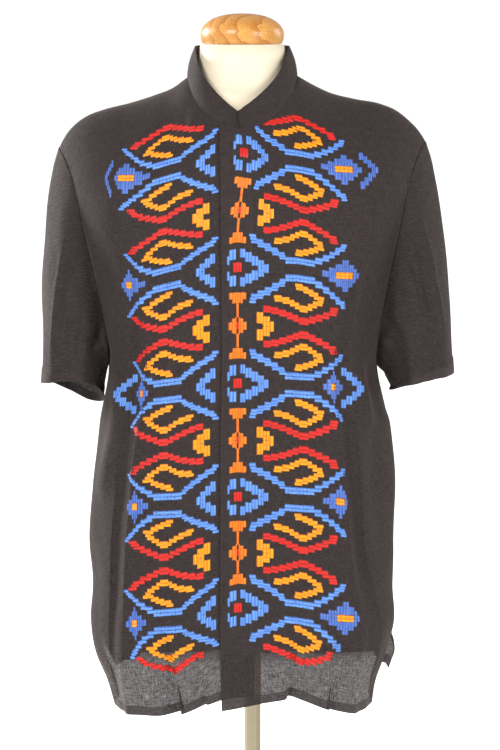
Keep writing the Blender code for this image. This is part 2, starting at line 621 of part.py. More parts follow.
mesh = bpy.data.meshes.new("form_torso")
bm = bmesh.new()
v = [[bm.verts.new(p) for p in ring] for ring in rings]
for i in range(len(v) - 1):
    for j in range(RING):
        k = (j + 1) % RING
        bm.faces.new((v[i][j], v[i][k], v[i + 1][k], v[i + 1][j]))
bm.faces.new(v[0][::-1])
bm.faces.new(v[-1])
bmesh.ops.recalc_face_normals(bm, faces=bm.faces)
bm.to_mesh(mesh)
bm.free()
mesh.materials.append(CREAM)
mesh.shade_smooth()
torso = bpy.data.objects.new("form_torso", mesh)
parts.objects.link(torso)


def turned(name, profile, mat, steps, at=(0, 0)):
    """Solid of revolution: a profile of (radius, height) points, top to bottom."""
    mesh = bpy.data.meshes.new(name)
    mesh.from_pydata([(r, 0, z) for r, z in profile],
                     [(i, i + 1) for i in range(len(profile) - 1)], [])
    mesh.materials.append(mat)
    ob = bpy.data.objects.new(name, mesh)
    ob.location = (at[0], at[1], 0)
    parts.objects.link(ob)
    m = ob.modifiers.new("turn", "SCREW")
    m.axis = "Z"
    m.steps = steps
    m.render_steps = steps
    m.use_merge_vertices = True
    m.merge_threshold = 0.00001
    m.use_smooth_shade = True
    return ob


# the turned neck cap, a shallow dome with a rounded rim
CAP_R = 0.0483
CAP_H = 0.0352
CAP_FOOT = NECK_TOP_Z + SEAM
cap_profile = [(0, CAP_FOOT + CAP_H)]
for i in range(1, 11):
    a = i / 10 * math.pi / 2
    cap_profile.append((CAP_R * math.sin(a) ** 0.86, CAP_FOOT + 0.0110 + (CAP_H - 0.0110) * math.cos(a)))
cap_profile += [(CAP_R - 0.0006, CAP_FOOT + 0.0060), (CAP_R - 0.0022, CAP_FOOT + 0.0020),
                (CAP_R - 0.0045, CAP_FOOT), (0, CAP_FOOT)]
turned("neck_cap", cap_profile, WOOD, 32, at=(XC, 0))

# the pole, with a round flange under the form and a collar over the base
BASE_H = 0.012
pole_top = FORM_BOTTOM_Z - SEAM
turned("pole", [(0, pole_top), (0.036, pole_top), (0.036, pole_top - 0.004), (0.016, pole_top - 0.006),
                (0.013, pole_top - 0.022), (POLE_R, pole_top - 0.024), (POLE_R, BASE_H + 0.030),
                (0.016, BASE_H + 0.028), (0.018, BASE_H + 0.006), (0.021, BASE_H + SEAM),
                (0, BASE_H + SEAM)], CHROME, 24)
turned("base", [(0, BASE_H), (0.120, BASE_H), (0.155, BASE_H - 0.002), (BASE_R - 0.003, BASE_H - 0.006),
                (BASE_R, BASE_H - 0.009), (BASE_R, 0.0015), (BASE_R - 0.0015, 0), (0, 0)], CHROME, 40)
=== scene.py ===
"""Short sleeve blouse with an embroidered front, worn on a limbless dress form.

The pieces are made in the order in which the real object goes together: the
stand, the form, the cut and sewn blouse, and last the embroidery on it.
"""
import math

import bpy
import numpy as np
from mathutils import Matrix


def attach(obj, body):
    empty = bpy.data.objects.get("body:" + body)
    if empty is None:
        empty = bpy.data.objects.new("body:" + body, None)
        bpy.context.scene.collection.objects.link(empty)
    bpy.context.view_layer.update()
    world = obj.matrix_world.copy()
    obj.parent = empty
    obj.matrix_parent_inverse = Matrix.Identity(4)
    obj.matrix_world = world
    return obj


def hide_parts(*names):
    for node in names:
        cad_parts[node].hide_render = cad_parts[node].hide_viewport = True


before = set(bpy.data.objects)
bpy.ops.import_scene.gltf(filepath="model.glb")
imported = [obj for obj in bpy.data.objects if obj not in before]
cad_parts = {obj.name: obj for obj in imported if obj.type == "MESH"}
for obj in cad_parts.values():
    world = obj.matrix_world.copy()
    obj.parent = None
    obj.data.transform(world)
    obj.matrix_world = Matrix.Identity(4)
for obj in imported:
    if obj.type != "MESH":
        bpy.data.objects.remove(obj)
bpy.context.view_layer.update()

# The foot of the stand
# A pressed steel plate with a rounded rim, chrome plated. It lies loose on
# the floor and the pole is screwed into its middle.
BASE_RADIUS = 0.170
BASE_HEIGHT = 0.012


def alone():
    """Nothing is selected, so that the next piece is worked on by itself."""
    if bpy.context.object and bpy.context.object.mode == "EDIT":
        bpy.ops.object.mode_set(mode="OBJECT")
    bpy.ops.object.select_all(action="DESELECT")


def turned(name, profile, sides, centre=(0.0, 0.0), smooth=32):
    """Turn a piece on the lathe from (radius, height) steps, bottom to top."""
    alone()
    r, z = profile[0]
    bpy.ops.mesh.primitive_circle_add(vertices=sides, radius=r, fill_type="NGON",
                                      location=(centre[0], centre[1], z))
    piece = bpy.context.object
    bpy.ops.object.transform_apply(location=True, rotation=False, scale=False)
    piece.name = piece.data.name = name
    bpy.ops.object.mode_set(mode="EDIT")
    bpy.ops.mesh.select_all(action="SELECT")
    for r_next, z_next in profile[1:]:
        bpy.ops.mesh.extrude_region_move(TRANSFORM_OT_translate={"value": (0, 0, z_next - z)})
        k = r_next / r
        bpy.ops.transform.resize(value=(k, k, 1), center_override=(centre[0], centre[1], z_next))
        r, z = r_next, z_next
    bpy.ops.mesh.select_all(action="SELECT")
    bpy.ops.mesh.normals_make_consistent(inside=False)
    bpy.ops.object.mode_set(mode="OBJECT")
    bpy.ops.object.shade_smooth_by_angle(angle=math.radians(smooth))
    return piece


def group_socket(group, name, kind, way, value=None):
    socket = group.interface.new_socket(name=name, in_out=way, socket_type=kind)
    if value is not None:
        socket.default_value = value


def mottle_group():
    """Slow and fine cloudiness of a hard surface, read from Object coordinates."""
    g = bpy.data.node_groups.new("surface_mottle", "ShaderNodeTree")
    group_socket(g, "Cloud size", "NodeSocketFloat", "INPUT", 12.0)
    group_socket(g, "Grain size", "NodeSocketFloat", "INPUT", 400.0)
    group_socket(g, "Cloud", "NodeSocketFloat", "OUTPUT")
    group_socket(g, "Grain", "NodeSocketFloat", "OUTPUT")
    n, k = g.nodes, g.links
    gin, gout = n.new("NodeGroupInput"), n.new("NodeGroupOutput")
    place = n.new("ShaderNodeTexCoord")
    for out, size in (("Cloud", "Cloud size"), ("Grain", "Grain size")):
        noise = n.new("ShaderNodeTexNoise")
        noise.inputs["Detail"].default_value = 4.0
        k.new(place.outputs["Object"], noise.inputs["Vector"])
        k.new(gin.outputs[size], noise.inputs["Scale"])
        k.new(noise.outputs["Fac"], gout.inputs[out])
    return g


MOTTLE = mottle_group()


def mottled(nodes, cloud_size, grain_size):
    """The cloudiness, placed in a material with its own sizes."""
    wear = nodes.new("ShaderNodeGroup")
    wear.node_tree = MOTTLE
    wear.inputs["Cloud size"].default_value = cloud_size
    wear.inputs["Grain size"].default_value = grain_size
    return wear


def new_material(name, roughness, **sockets):
    m = bpy.data.materials.new(name)
    m.use_nodes = True
    shader = m.node_tree.nodes["Principled BSDF"]
    shader.inputs["Roughness"].default_value = roughness
    for socket, value in sockets.items():
        shader.inputs[socket.replace("_", " ")].default_value = value
    return m, m.node_tree.nodes, m.node_tree.links, shader


def spread(nodes, links, source, low, high, into):
    """Feed a 0 to 1 value into a socket as a range from low to high."""
    r = nodes.new("ShaderNodeMapRange")
    r.inputs["To Min"].default_value = low
    r.inputs["To Max"].default_value = high
    links.new(source, r.inputs["Value"])
    links.new(r.outputs["Result"], into)
    return r


def blend_colours(nodes, links, source, first, second, into=None, low=0.0, high=1.0):
    """Feed a 0 to 1 value as a colour between the first and the second."""
    ramp = nodes.new("ShaderNodeValToRGB")
    ramp.color_ramp.elements[0].position = low
    ramp.color_ramp.elements[1].position = high
    ramp.color_ramp.elements[0].color = (*first, 1)
    ramp.color_ramp.elements[1].color = (*second, 1)
    links.new(source, ramp.inputs["Fac"])
    if into is not None:
        links.new(ramp.outputs["Color"], into)
    return ramp


def relief(nodes, links, shader, height, distance, strength=1.0):
    bump = nodes.new("ShaderNodeBump")
    bump.inputs["Distance"].default_value = distance
    bump.inputs["Strength"].default_value = strength
    links.new(height, bump.inputs["Height"])
    links.new(bump.outputs["Normal"], shader.inputs["Normal"])
    return bump


def chrome():
    m, n, k, shader = new_material("chrome_plate", 0.10, Metallic=1.0)
    wear = mottled(n, 9.0, 900.0)
    blend_colours(n, k, wear.outputs["Cloud"], (0.28, 0.235, 0.155), (0.40, 0.345, 0.24),
                  shader.inputs["Base Color"], 0.30, 0.62)
    spread(n, k, wear.outputs["Cloud"], 0.05, 0.20, shader.inputs["Roughness"])
    relief(n, k, shader, wear.outputs["Grain"], 0.00002, 0.35)
    return m


CHROME = chrome()

base = turned("base_plate", [(0.1685, 0.0), (0.1697, 0.0006), (BASE_RADIUS, 0.0015),
                             (BASE_RADIUS, 0.0085), (0.1696, 0.0093), (0.1686, 0.0099), (0.1660, 0.0104), (0.1550, 0.0111),
                             (0.1380, 0.0116), (0.1200, 0.0119), (0.0900, BASE_HEIGHT),
                             (0.0240, BASE_HEIGHT)], 128)
base.data.materials.append(CHROME)
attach(base, "root")
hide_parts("base")

# The pole
# A drawn steel tube, chrome plated, with a turned collar that screws down on
# the foot and a round flange that is screwed to the form's underside.
POLE_RADIUS = 0.010
pole = turned("pole_tube", [(0.0205, 0.0121), (0.0210, 0.0128), (0.0208, 0.0150), (0.0184, 0.0172),
                            (0.0180, 0.0190), (0.0178, 0.0340), (0.0172, 0.0385), (0.0160, 0.0402),
                            (0.0128, 0.0412), (0.0103, 0.0418), (POLE_RADIUS, 0.0424),
                            (POLE_RADIUS, 0.5600), (0.0102, 0.5634), (0.0126, 0.5640), (0.0131, 0.5652),
                            (0.0140, 0.5800), (0.0158, 0.5818), (0.0340, 0.5826), (0.0357, 0.5834),
                            (0.0360, 0.5846), (0.0360, 0.5876)], 64)
pole.data.materials.append(CHROME)
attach(pole, "root")
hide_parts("pole")

# The form
# A moulded torso with a neck and no limbs, with a smooth cream skin. It is
# one shell, closed by flat plates at the arms and underneath.


def cream_skin():
    m, n, k, shader = new_material("cream_skin", 0.5)
    wear = mottled(n, 14.0, 1500.0)
    blend_colours(n, k, wear.outputs["Cloud"], (0.78, 0.67, 0.49), (0.82, 0.72, 0.54),
                  shader.inputs["Base Color"], 0.3, 0.7)
    spread(n, k, wear.outputs["Cloud"], 0.42, 0.58, shader.inputs["Roughness"])
    relief(n, k, shader, wear.outputs["Grain"], 0.0001, 0.4)
    return m


def form_copy():
    """The torso's solid as one smooth skin."""
    alone()
    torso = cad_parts["form_torso"].copy()
    torso.data = torso.data.copy()
    bpy.context.scene.collection.objects.link(torso)
    torso.parent = None
    torso.name = torso.data.name = "form_skin"
    for key in list(torso.keys()):
        del torso[key]
    bpy.context.view_layer.objects.active = torso
    torso.select_set(True)
    bpy.ops.object.mode_set(mode="EDIT")
    bpy.ops.mesh.select_all(action="SELECT")
    bpy.ops.mesh.remove_doubles(threshold=0.00002)
    bpy.ops.mesh.tris_convert_to_quads(face_threshold=math.radians(60), shape_threshold=math.radians(60))
    bpy.ops.mesh.select_all(action="SELECT")
    bpy.ops.mesh.normals_make_consistent(inside=False)
    bpy.ops.object.mode_set(mode="OBJECT")
    bpy.ops.object.shade_smooth_by_angle(angle=math.radians(50))
    return torso


form = form_copy()
form.data.materials.clear()
form.data.materials.append(cream_skin())
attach(form, "root")
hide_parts("form_torso")

# The neck cap
# A disc of pale wood turned to a shallow dome, with open grain under a thick
# clear varnish. It is screwed down on top of the form's neck.
CAP_RADIUS = 0.0483
CAP_FOOT = 1.2788
CAP_HEIGHT = 0.0352
MIDDLE_X = -0.012         # the wearer's middle, a little beside the pole


def varnished_wood():
    m, n, k, shader = new_material("varnished_wood", 0.42, Coat_Roughness=0.10, Coat_Weight=0.28)
    place = n.new("ShaderNodeTexCoord")
    turn = n.new("ShaderNodeMapping")
    turn.inputs["Location"].default_value = (0.012, 0.020, -1.262)
    turn.inputs["Rotation"].default_value = (0.12, 0.30, 1.25)
    turn.inputs["Scale"].default_value = (1.0, 0.22, 1.0)
    k.new(place.outputs["Object"], turn.inputs["Vector"])
    drift = n.new("ShaderNodeTexNoise")
    drift.inputs["Scale"].default_value = 26.0
    drift.inputs["Detail"].default_value = 3.0
    k.new(turn.outputs["Vector"], drift.inputs["Vector"])
    shift = n.new("ShaderNodeVectorMath")
    shift.operation = "MULTIPLY_ADD"
    shift.inputs[1].default_value = (0.018, 0.018, 0.018)
    k.new(drift.outputs["Color"], shift.inputs[0])
    k.new(turn.outputs["Vector"], shift.inputs[2])
    rings = n.new("ShaderNodeTexWave")
    rings.wave_type = "RINGS"
    rings.rings_direction = "Y"
    rings.wave_profile = "SAW"
    rings.inputs["Scale"].default_value = 48.0
    rings.inputs["Distortion"].default_value = 1.6
    rings.inputs["Detail"].default_value = 2.0
    rings.inputs["Detail Scale"].default_value = 1.4
    k.new(shift.outputs["Vector"], rings.inputs["Vector"])
    pores = n.new("ShaderNodeTexNoise")
    pores.inputs["Scale"].default_value = 900.0
    pores.inputs["Detail"].default_value = 2.0
    k.new(turn.outputs["Vector"], pores.inputs["Vector"])
    ramp = blend_colours(n, k, rings.outputs["Fac"], (0.72, 0.360, 0.080), (0.50, 0.190, 0.030),
                         low=0.05, high=0.98)
    middle = ramp.color_ramp.elements.new(0.6)
    middle.color = (0.64, 0.290, 0.058, 1)
    dark = blend_colours(n, k, pores.outputs["Fac"], (0.72, 0.62, 0.50), (1.0, 1.0, 1.0),
                         low=0.36, high=0.52)
    both = n.new("ShaderNodeMix")
    both.data_type = "RGBA"
    both.blend_type = "MULTIPLY"
    both.inputs["Factor"].default_value = 1.0
    k.new(ramp.outputs["Color"], both.inputs["A"])
    k.new(dark.outputs["Color"], both.inputs["B"])
    k.new(both.outputs["Result"], shader.inputs["Base Color"])
    relief(n, k, shader, pores.outputs["Fac"], 0.00004, 0.35)
    return m


cap_profile = [(CAP_RADIUS - 0.0046, 0.0), (CAP_RADIUS - 0.0032, 0.0006), (CAP_RADIUS - 0.0021, 0.0019),
               (CAP_RADIUS - 0.0010, 0.0045), (CAP_RADIUS - 0.0003, 0.0074), (CAP_RADIUS, 0.0110)]
for step in range(1, 24):
    a = math.pi / 2 * step / 24
    cap_profile.append((CAP_RADIUS * math.cos(a) ** 0.86, 0.0110 + (CAP_HEIGHT - 0.0110) * math.sin(a)))
cap_profile.append((0.0006, CAP_HEIGHT))
cap = turned("wooden_cap", [(r, CAP_FOOT + h) for r, h in cap_profile], 96, (MIDDLE_X, 0.0), 40)
cap.data.materials.append(varnished_wood())
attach(cap, "root")
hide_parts("neck_cap")

# The back
# One panel of navy cotton, woven with slubs. Its shoulder and side seams are
# sewn to the fronts down to the vents, and its hem is turned up twice.
UNDERARM = 0.908          # height of the underarm
VENT = 0.598              # height of the top of the side vents
VENT_FLARE = 0.024        # the back's corner swings out at the open vent
ROUND_OVER = 0.115        # the body rounds over the shoulder below its ridge
NECK_POINT = 0.244        # share of the half width at the side of the neck
LAYER = 0.0019            # rise of the top front over the under one
CLOTH = 0.0007            # one layer of the cotton
HEM_FOLD = 0.0016         # the cloth where it is turned under

RINGS = np.array([
    # height, left,  right,  front,  back,   square
    (0.500, 0.1450, 0.1480, 0.1270, 0.1130, 4.8),
    (0.535, 0.1550, 0.1540, 0.1290, 0.1160, 4.3),
    (0.570, 0.1700, 0.1670, 0.1315, 0.1190, 3.6),
    (0.605, 0.1755, 0.1765, 0.1335, 0.1215, 3.2),
    (0.650, 0.1750, 0.1745, 0.1350, 0.1240, 3.0),
    (0.700, 0.1780, 0.1755, 0.1365, 0.1260, 2.85),
    (0.770, 0.1745, 0.1780, 0.1375, 0.1285, 2.75),
    (0.840, 0.1670, 0.1720, 0.1375, 0.1300, 2.70),
    (0.908, 0.1565, 0.1590, 0.1370, 0.1310, 2.60),
    (0.960, 0.1640, 0.1650, 0.1365, 0.1320, 2.60),
    (1.020, 0.1780, 0.1780, 0.1345, 0.1325, 2.60),
    (1.080, 0.1960, 0.1950, 0.1290, 0.1300, 2.50),
    (1.130, 0.2080, 0.2070, 0.1180, 0.1240, 2.40),
    (1.175, 0.2190, 0.2190, 0.1010, 0.1140, 2.30),
    (1.240, 0.2250, 0.2250, 0.0800, 0.1000, 2.20),
    (1.300, 0.2250, 0.2250, 0.0700, 0.0900, 2.20)])
SHOULDER = np.array([
    # from middle, height left, height right
    (0.000, 1.2620, 1.2640), (0.030, 1.2570, 1.2590), (0.064, 1.2405, 1.2425),
    (0.080, 1.2290, 1.2335), (0.100, 1.2210, 1.2240), (0.130, 1.2115, 1.2162),
    (0.160, 1.2040, 1.2105), (0.180, 1.1965, 1.2020), (0.195, 1.1860, 1.1900),
    (0.205, 1.1745, 1.1795), (0.213, 1.1600, 1.1670), (0.225, 1.1300, 1.1350)])
ARMHOLE = np.array([
    # share of height, left, right
    (0.00, 0.1565, 0.1590), (0.03, 0.1545, 0.1570), (0.08, 0.1545, 0.1565),
    (0.20, 0.1590, 0.1600), (0.35, 0.1655, 0.1665), (0.50, 0.1735, 0.1740),
    (0.65, 0.1820, 0.1820), (0.80, 0.1900, 0.1900), (0.90, 0.1975, 0.1975),
    (0.96, 0.2055, 0.2055), (1.00, 0.2130, 0.2130)])
NECKLINE = np.array([
    # from middle, height in front, at the back
    (0.000, 1.1840, 1.2320), (0.015, 1.1865, 1.2325), (0.030, 1.1935, 1.2335),
    (0.045, 1.2060, 1.2355), (0.056, 1.2215, 1.2380), (0.064, 1.2415, 1.2415)])
TOP_EDGE = np.array([
    # share of the half width, distance from the middle
    (0.000, 0.0000), (0.125, 0.0327), (0.244, 0.0640), (0.500, 0.1170), (0.750, 0.1660), (1.000, 0.2130)])
HEM = np.array([
    # share,  under,  top,    back
    (-1.00, 0.5130, 0.5130, 0.5320), (-0.80, 0.5085, 0.5085, 0.5260), (-0.55, 0.5130, 0.5130, 0.5210),
    (-0.32, 0.5150, 0.5150, 0.5230), (-0.20, 0.5230, 0.5180, 0.5250), (-0.08, 0.5340, 0.5210, 0.5250),
    (0.10, 0.5360, 0.5290, 0.5230), (0.26, 0.5330, 0.5330, 0.5210), (0.42, 0.5200, 0.5190, 0.5220),
    (0.60, 0.5130, 0.5130, 0.5250), (0.80, 0.5120, 0.5120, 0.5270), (1.00, 0.5190, 0.5190, 0.5320)])
UNDER, TOP, BEHIND = 1, 2, 3      # columns of the hem table
FOLDS = np.array([
    # face, place, z_low,  z_high, drift,  width, rise
    (-1, -0.33, 0.505, 0.640, -0.03, 0.034, -0.0230),
    (-1, -0.255, 0.505, 0.620, -0.03, 0.024, 0.0090),
    (-1, -0.19, 0.505, 0.620, -0.02, 0.026, -0.0170),
    (-1, 0.25, 0.505, 0.640, 0.00, 0.034, -0.0220),
    (-1, 0.33, 0.505, 0.620, 0.00, 0.026, 0.0090),
    (-1, 0.46, 0.505, 0.650, -0.02, 0.034, -0.0180),
    (-1, -0.54, 0.520, 0.900, 0.06, 0.045, 0.0060),
    (-1, 0.52, 0.520, 0.900, -0.10, 0.045, 0.0060),
    (-1, -0.84, 0.620, 1.000, 0.02, 0.090, 0.0050),
    (-1, 0.86, 0.620, 1.000, -0.02, 0.090, 0.0050),
    (1, -0.66, 0.505, 0.860, 0.06, 0.040, -0.0080),
    (1, -0.50, 0.505, 1.020, 0.08, 0.052, 0.0150),
    (1, -0.22, 0.505, 0.800, 0.03, 0.050, -0.0105),
    (1, -0.06, 0.505, 0.960, 0.02, 0.045, 0.0110),
    (1, 0.13, 0.505, 0.700, 0.00, 0.040, -0.0090),
    (1, 0.22, 0.505, 0.900, -0.03, 0.045, 0.0120),
    (1, 0.40, 0.505, 0.760, -0.05, 0.045, -0.0105),
    (1, 0.60, 0.505, 1.040, -0.10, 0.055, 0.0160),
    (1, 0.78, 0.505, 0.800, -0.04, 0.040, -0.0080)])
CREASES = np.array([
    # soft troughs and ridges: face, x and z at one end, x and z at the other, width, rise
    (-1, -0.135, 0.960, -0.150, 0.840, 0.0110, -0.0054),
    (-1, -0.150, 0.900, -0.172, 0.770, 0.0080, 0.0047),
    (-1, -0.118, 0.985, -0.060, 1.060, 0.0160, -0.0034),
    (-1, 0.128, 0.985, 0.085, 1.080, 0.0160, -0.0034),
    (-1, 0.132, 0.915, 0.150, 0.850, 0.0090, -0.0054),
    (-1, 0.118, 0.930, 0.140, 0.850, 0.0080, 0.0040),
    (-1, 0.140, 0.840, 0.150, 0.700, 0.0120, -0.0047),
    (-1, -0.074, 1.200, -0.079, 1.180, 0.0048, -0.0014),
    (-1, -0.066, 1.204, -0.071, 1.182, 0.0045, 0.0013),
    (-1, 0.046, 1.204, 0.049, 1.182, 0.0048, -0.0014),
    (-1, 0.056, 1.204, 0.059, 1.182, 0.0045, 0.0013),
    (-1, -0.158, 1.120, -0.140, 0.990, 0.0180, 0.0037),
    (-1, 0.135, 1.120, 0.120, 0.990, 0.0180, 0.0037),
    (1, -0.150, 1.090, -0.118, 0.930, 0.0130, 0.0060),
    (1, 0.146, 1.100, 0.120, 0.940, 0.0130, 0.0060),
    (1, -0.104, 1.130, -0.090, 0.980, 0.0140, 0.0045),
    (1, 0.085, 1.120, 0.070, 0.960, 0.0150, 0.0045),
    (1, -0.120, 1.000, -0.060, 1.080, 0.0180, -0.0047),
    (1, 0.100, 1.000, 0.040, 1.090, 0.0180, -0.0047),
    (1, -0.130, 0.960, -0.110, 0.760, 0.0160, 0.0062),
    (1, 0.110, 0.960, 0.080, 0.720, 0.0170, 0.0065),
    (1, -0.070, 0.900, -0.085, 0.600, 0.0150, -0.0056),
    (1, 0.020, 0.880, 0.015, 0.620, 0.0160, 0.0053),
    (1, -0.150, 0.900, -0.160, 0.700, 0.0110, -0.0047),
    (1, 0.130, 0.880, 0.145, 0.690, 0.0110, -0.0047),
    (1, -0.010, 1.200, -0.013, 1.120, 0.0060, 0.0025),
    (1, -0.060, 1.205, -0.068, 1.140, 0.0055, -0.0025),
    (1, 0.040, 1.205, 0.046, 1.140, 0.0055, -0.0025)])


def along(x, table, column):
    """Smooth curve through one column of a table, read at x."""
    xs, ys = table[:, 0], table[:, column]
    x = np.clip(np.asarray(x, float), xs[0], xs[-1])
    slope = np.gradient(ys, xs)
    i = np.clip(np.searchsorted(xs, x) - 1, 0, len(xs) - 2)
    h = xs[i + 1] - xs[i]
    s = (x - xs[i]) / h
    return (ys[i] * (1 + 2 * s) * (1 - s) ** 2 + slope[i] * h * s * (1 - s) ** 2
            + ys[i + 1] * s * s * (3 - 2 * s) + slope[i + 1] * h * s * s * (s - 1))


def ease(x):
    x = np.clip(x, 0.0, 1.0)
    return x * x * (3 - 2 * x)


def unit(a):
    return a / np.maximum(np.linalg.norm(a, axis=-1, keepdims=True), 1e-12)


def sided(x, table, q, column=1):
    """Column for the viewer's left where q is minus, the next for the right."""
    return np.where(q < 0, along(x, table, column), along(x, table, column + 1))


def ring_depth(r, z, face):
    """Depth of the body ring at height z, at the share r of its half width."""
    deep = along(z, RINGS, 3 if face < 0 else 4)
    n = along(z, RINGS, 5)
    return deep * (1 - np.clip(np.abs(r), 0, 1) ** n) ** (1 / n)


def ring_point(p, z, q, face):
    """Point at the share p of the cloth from the middle (0) to the side (1)."""
    half = sided(z, RINGS, q)
    if face > 0:
        half = half + np.where(q > 0, VENT_FLARE * ease((VENT - z) / 0.050), 0)
    n = along(z, RINGS, 5)
    deep = along(z, RINGS, 3 if face < 0 else 4)
    t = np.linspace(0, 1, 90) * math.pi / 2
    c = np.sin(t)[:, None] ** (2 / n) * half
    d = np.cos(t)[:, None] ** (2 / n) * deep
    run = np.vstack([np.zeros(len(p)), np.cumsum(np.hypot(np.diff(c, axis=0), np.diff(d, axis=0)), axis=0)])
    want = p * run[-1]
    k = np.clip((run < want).sum(axis=0) - 1, 0, len(t) - 2)
    j = np.arange(len(p))
    s = (want - run[k, j]) / np.maximum(run[k + 1, j] - run[k, j], 1e-9)
    return c[k, j] + (c[k + 1, j] - c[k, j]) * s, d[k, j] + (d[k + 1, j] - d[k, j]) * s


def top_height(q, face):
    """Height of the panel's top edge: its neckline, then its shoulder seam."""
    p = np.abs(q)
    x = along(p, TOP_EDGE, 1)
    return np.where(p < NECK_POINT, along(x, NECKLINE, 1 if face < 0 else 2), sided(x, SHOULDER, q))


def smooth_body(q, v, face, hem):
    """Worn shape of a panel: q -1..1 across, v 0..1 to the underarm, 1..2 to the top."""
    p = np.abs(q)
    hem_z = along(q, HEM, hem)
    low = v <= 1
    z = hem_z + (UNDERARM - hem_z) * np.minimum(v, 1)
    vent = np.clip((VENT - z) / 0.080, 0, 1.2)
    opening = np.where(q < 0, 0.13, 0.20) if face < 0 else np.where(q < 0, 0.10, 0.04)
    x_low, y_low = ring_point(np.clip(p - opening * vent * p ** 5, 0, 1), z, q, face)
    w = np.clip(v - 1, 0, 1)
    top_x = along(p, TOP_EDGE, 1)
    z_up = UNDERARM + (top_height(q, face) - UNDERARM) * w
    tip = sided(np.full_like(p, 0.213), SHOULDER, q)
    edge = sided((z_up - UNDERARM) / (tip - UNDERARM), ARMHOLE, q)
    start, _ = ring_point(p, np.full_like(p, UNDERARM), q, face)
    share0 = start / sided(np.full_like(p, UNDERARM), RINGS, q)
    x_up = edge * (share0 + (top_x / 0.213 - share0) * w)
    below = np.clip((sided(x_up, SHOULDER, q) - z_up) / ROUND_OVER, 0, 1)
    y_up = ring_depth(x_up / sided(z_up, RINGS, q), z_up, face) * np.sqrt(1 - (1 - below) ** 2)
    y_up = np.where((v >= 2 - 1e-9) & (p >= NECK_POINT - 1e-6), 0, y_up)
    x, y, z = np.where(low, x_low, x_up), np.where(low, y_low, y_up), np.where(low, z, z_up)
    out = unit(np.stack([x, y], -1))
    rise = np.zeros_like(x)
    for f in FOLDS[FOLDS[:, 0] == face]:
        s = np.clip((z - f[2]) / (f[3] - f[2]), 0, 1)
        rise += f[6] * (1 - ease(s)) * np.exp(-((q - f[1] - f[4] * s) / f[5]) ** 2)
    rise *= 1 - 0.85 * ease((p - 0.80) / 0.20)
    side = np.where(q < 0, -1.0, 1.0)
    return np.stack([side * (x + rise * out[..., 0]) + MIDDLE_X, face * (y + rise * out[..., 1]), z], -1)


def ripples(count, seed, longest, shortest):
    """Wave numbers, phases and heights of the small unevenness of worn cloth."""
    rng = np.random.default_rng(seed)
    length = longest * (shortest / longest) ** rng.random(count)
    way = rng.normal(0.0, 0.55, count)
    return np.stack([np.cos(way) / length, np.sin(way) / length, rng.random(count), length / longest], -1)


RIPPLES = ripples(14, 11, 0.150, 0.022)


def unevenness(across, up):
    total = np.zeros_like(across)
    for kx, kz, phase, height in RIPPLES:
        total += height * np.sin(2 * math.pi * (kx * across + kz * up + phase))
    return total


def crease_rise(x, z, face, table):
    """Height of the listed soft creases at a point of the cloth."""
    total = np.zeros_like(x)
    for row in table[table[:, 0] == face]:
        ax, az, bx, bz, width, rise = row[1:]
        dx, dz = bx - ax, bz - az
        s = ((x - ax) * dx + (z - az) * dz) / (dx * dx + dz * dz)
        away = np.hypot(x - ax - np.clip(s, 0, 1) * dx, z - az - np.clip(s, 0, 1) * dz)
        total += rise * np.exp(-(away / width) ** 2) * ease((s + 0.25) / 0.5) * ease((1.25 - s) / 0.5)
    return total


PRESSED = np.array([
    # height, place of the line left, right (share of the half front), how sharp it is left, right
    (0.505, 0.540, 0.560, 0.02, 0.02), (0.540, 0.530, 0.560, 0.10, 0.06), (0.587, 0.520, 0.560, 0.16, 0.10),
    (0.622, 0.520, 0.550, 0.20, 0.14), (0.674, 0.520, 0.510, 0.22, 0.20), (0.703, 0.515, 0.480, 0.22, 0.24),
    (0.752, 0.505, 0.460, 0.22, 0.26), (0.830, 0.490, 0.440, 0.20, 0.24), (0.886, 0.470, 0.435, 0.18, 0.18),
    (0.930, 0.480, 0.460, 0.14, 0.16), (0.975, 0.505, 0.500, 0.12, 0.16), (1.013, 0.525, 0.535, 0.10, 0.14),
    (1.060, 0.530, 0.560, 0.05, 0.07), (1.100, 0.520, 0.560, 0.00, 0.00)])
PRESS_DEPTH = 0.026       # how far back a fully pressed line would lie
PRESS_SHARE = 0.120       # cloth taken up at the line, as a share of the half front
PRESS_LEFT = 0.010        # what is left of that share across the front
FLAT_PUSH = 0.0060        # the front stands flat and proud up to the line
FLAT_TOP, FLAT_FADE = 1.08, 0.14      # height where that begins, and over which it grows


def pressed(q, z):
    """Where the cloth at q lies beside the soft line down each side, how far back, how proud."""
    p = np.abs(q)
    line, amount = sided(z, PRESSED, q), np.clip(sided(z, PRESSED, q, 3), 0, 1)
    inside = np.clip((p - line) / PRESS_SHARE, 0, 1)
    end = line + PRESS_SHARE
    outside = line + PRESS_LEFT + (p - end) / (1 - end) * (1 - PRESS_LEFT - line)
    taken_up = np.where(p < line, p, np.where(p < end, line + PRESS_LEFT * inside, outside))
    side = np.where(q < 0, -1.0, 1.0)
    push = np.where(p < line, (p / line) ** 3, 1 - ease((p - line) / (1 - line)))
    return (side * (p + (taken_up - p) * amount),
            PRESS_DEPTH * amount * np.sin(math.pi * inside) ** 0.8,
            FLAT_PUSH * ease((FLAT_TOP - z) / FLAT_FADE) * push)


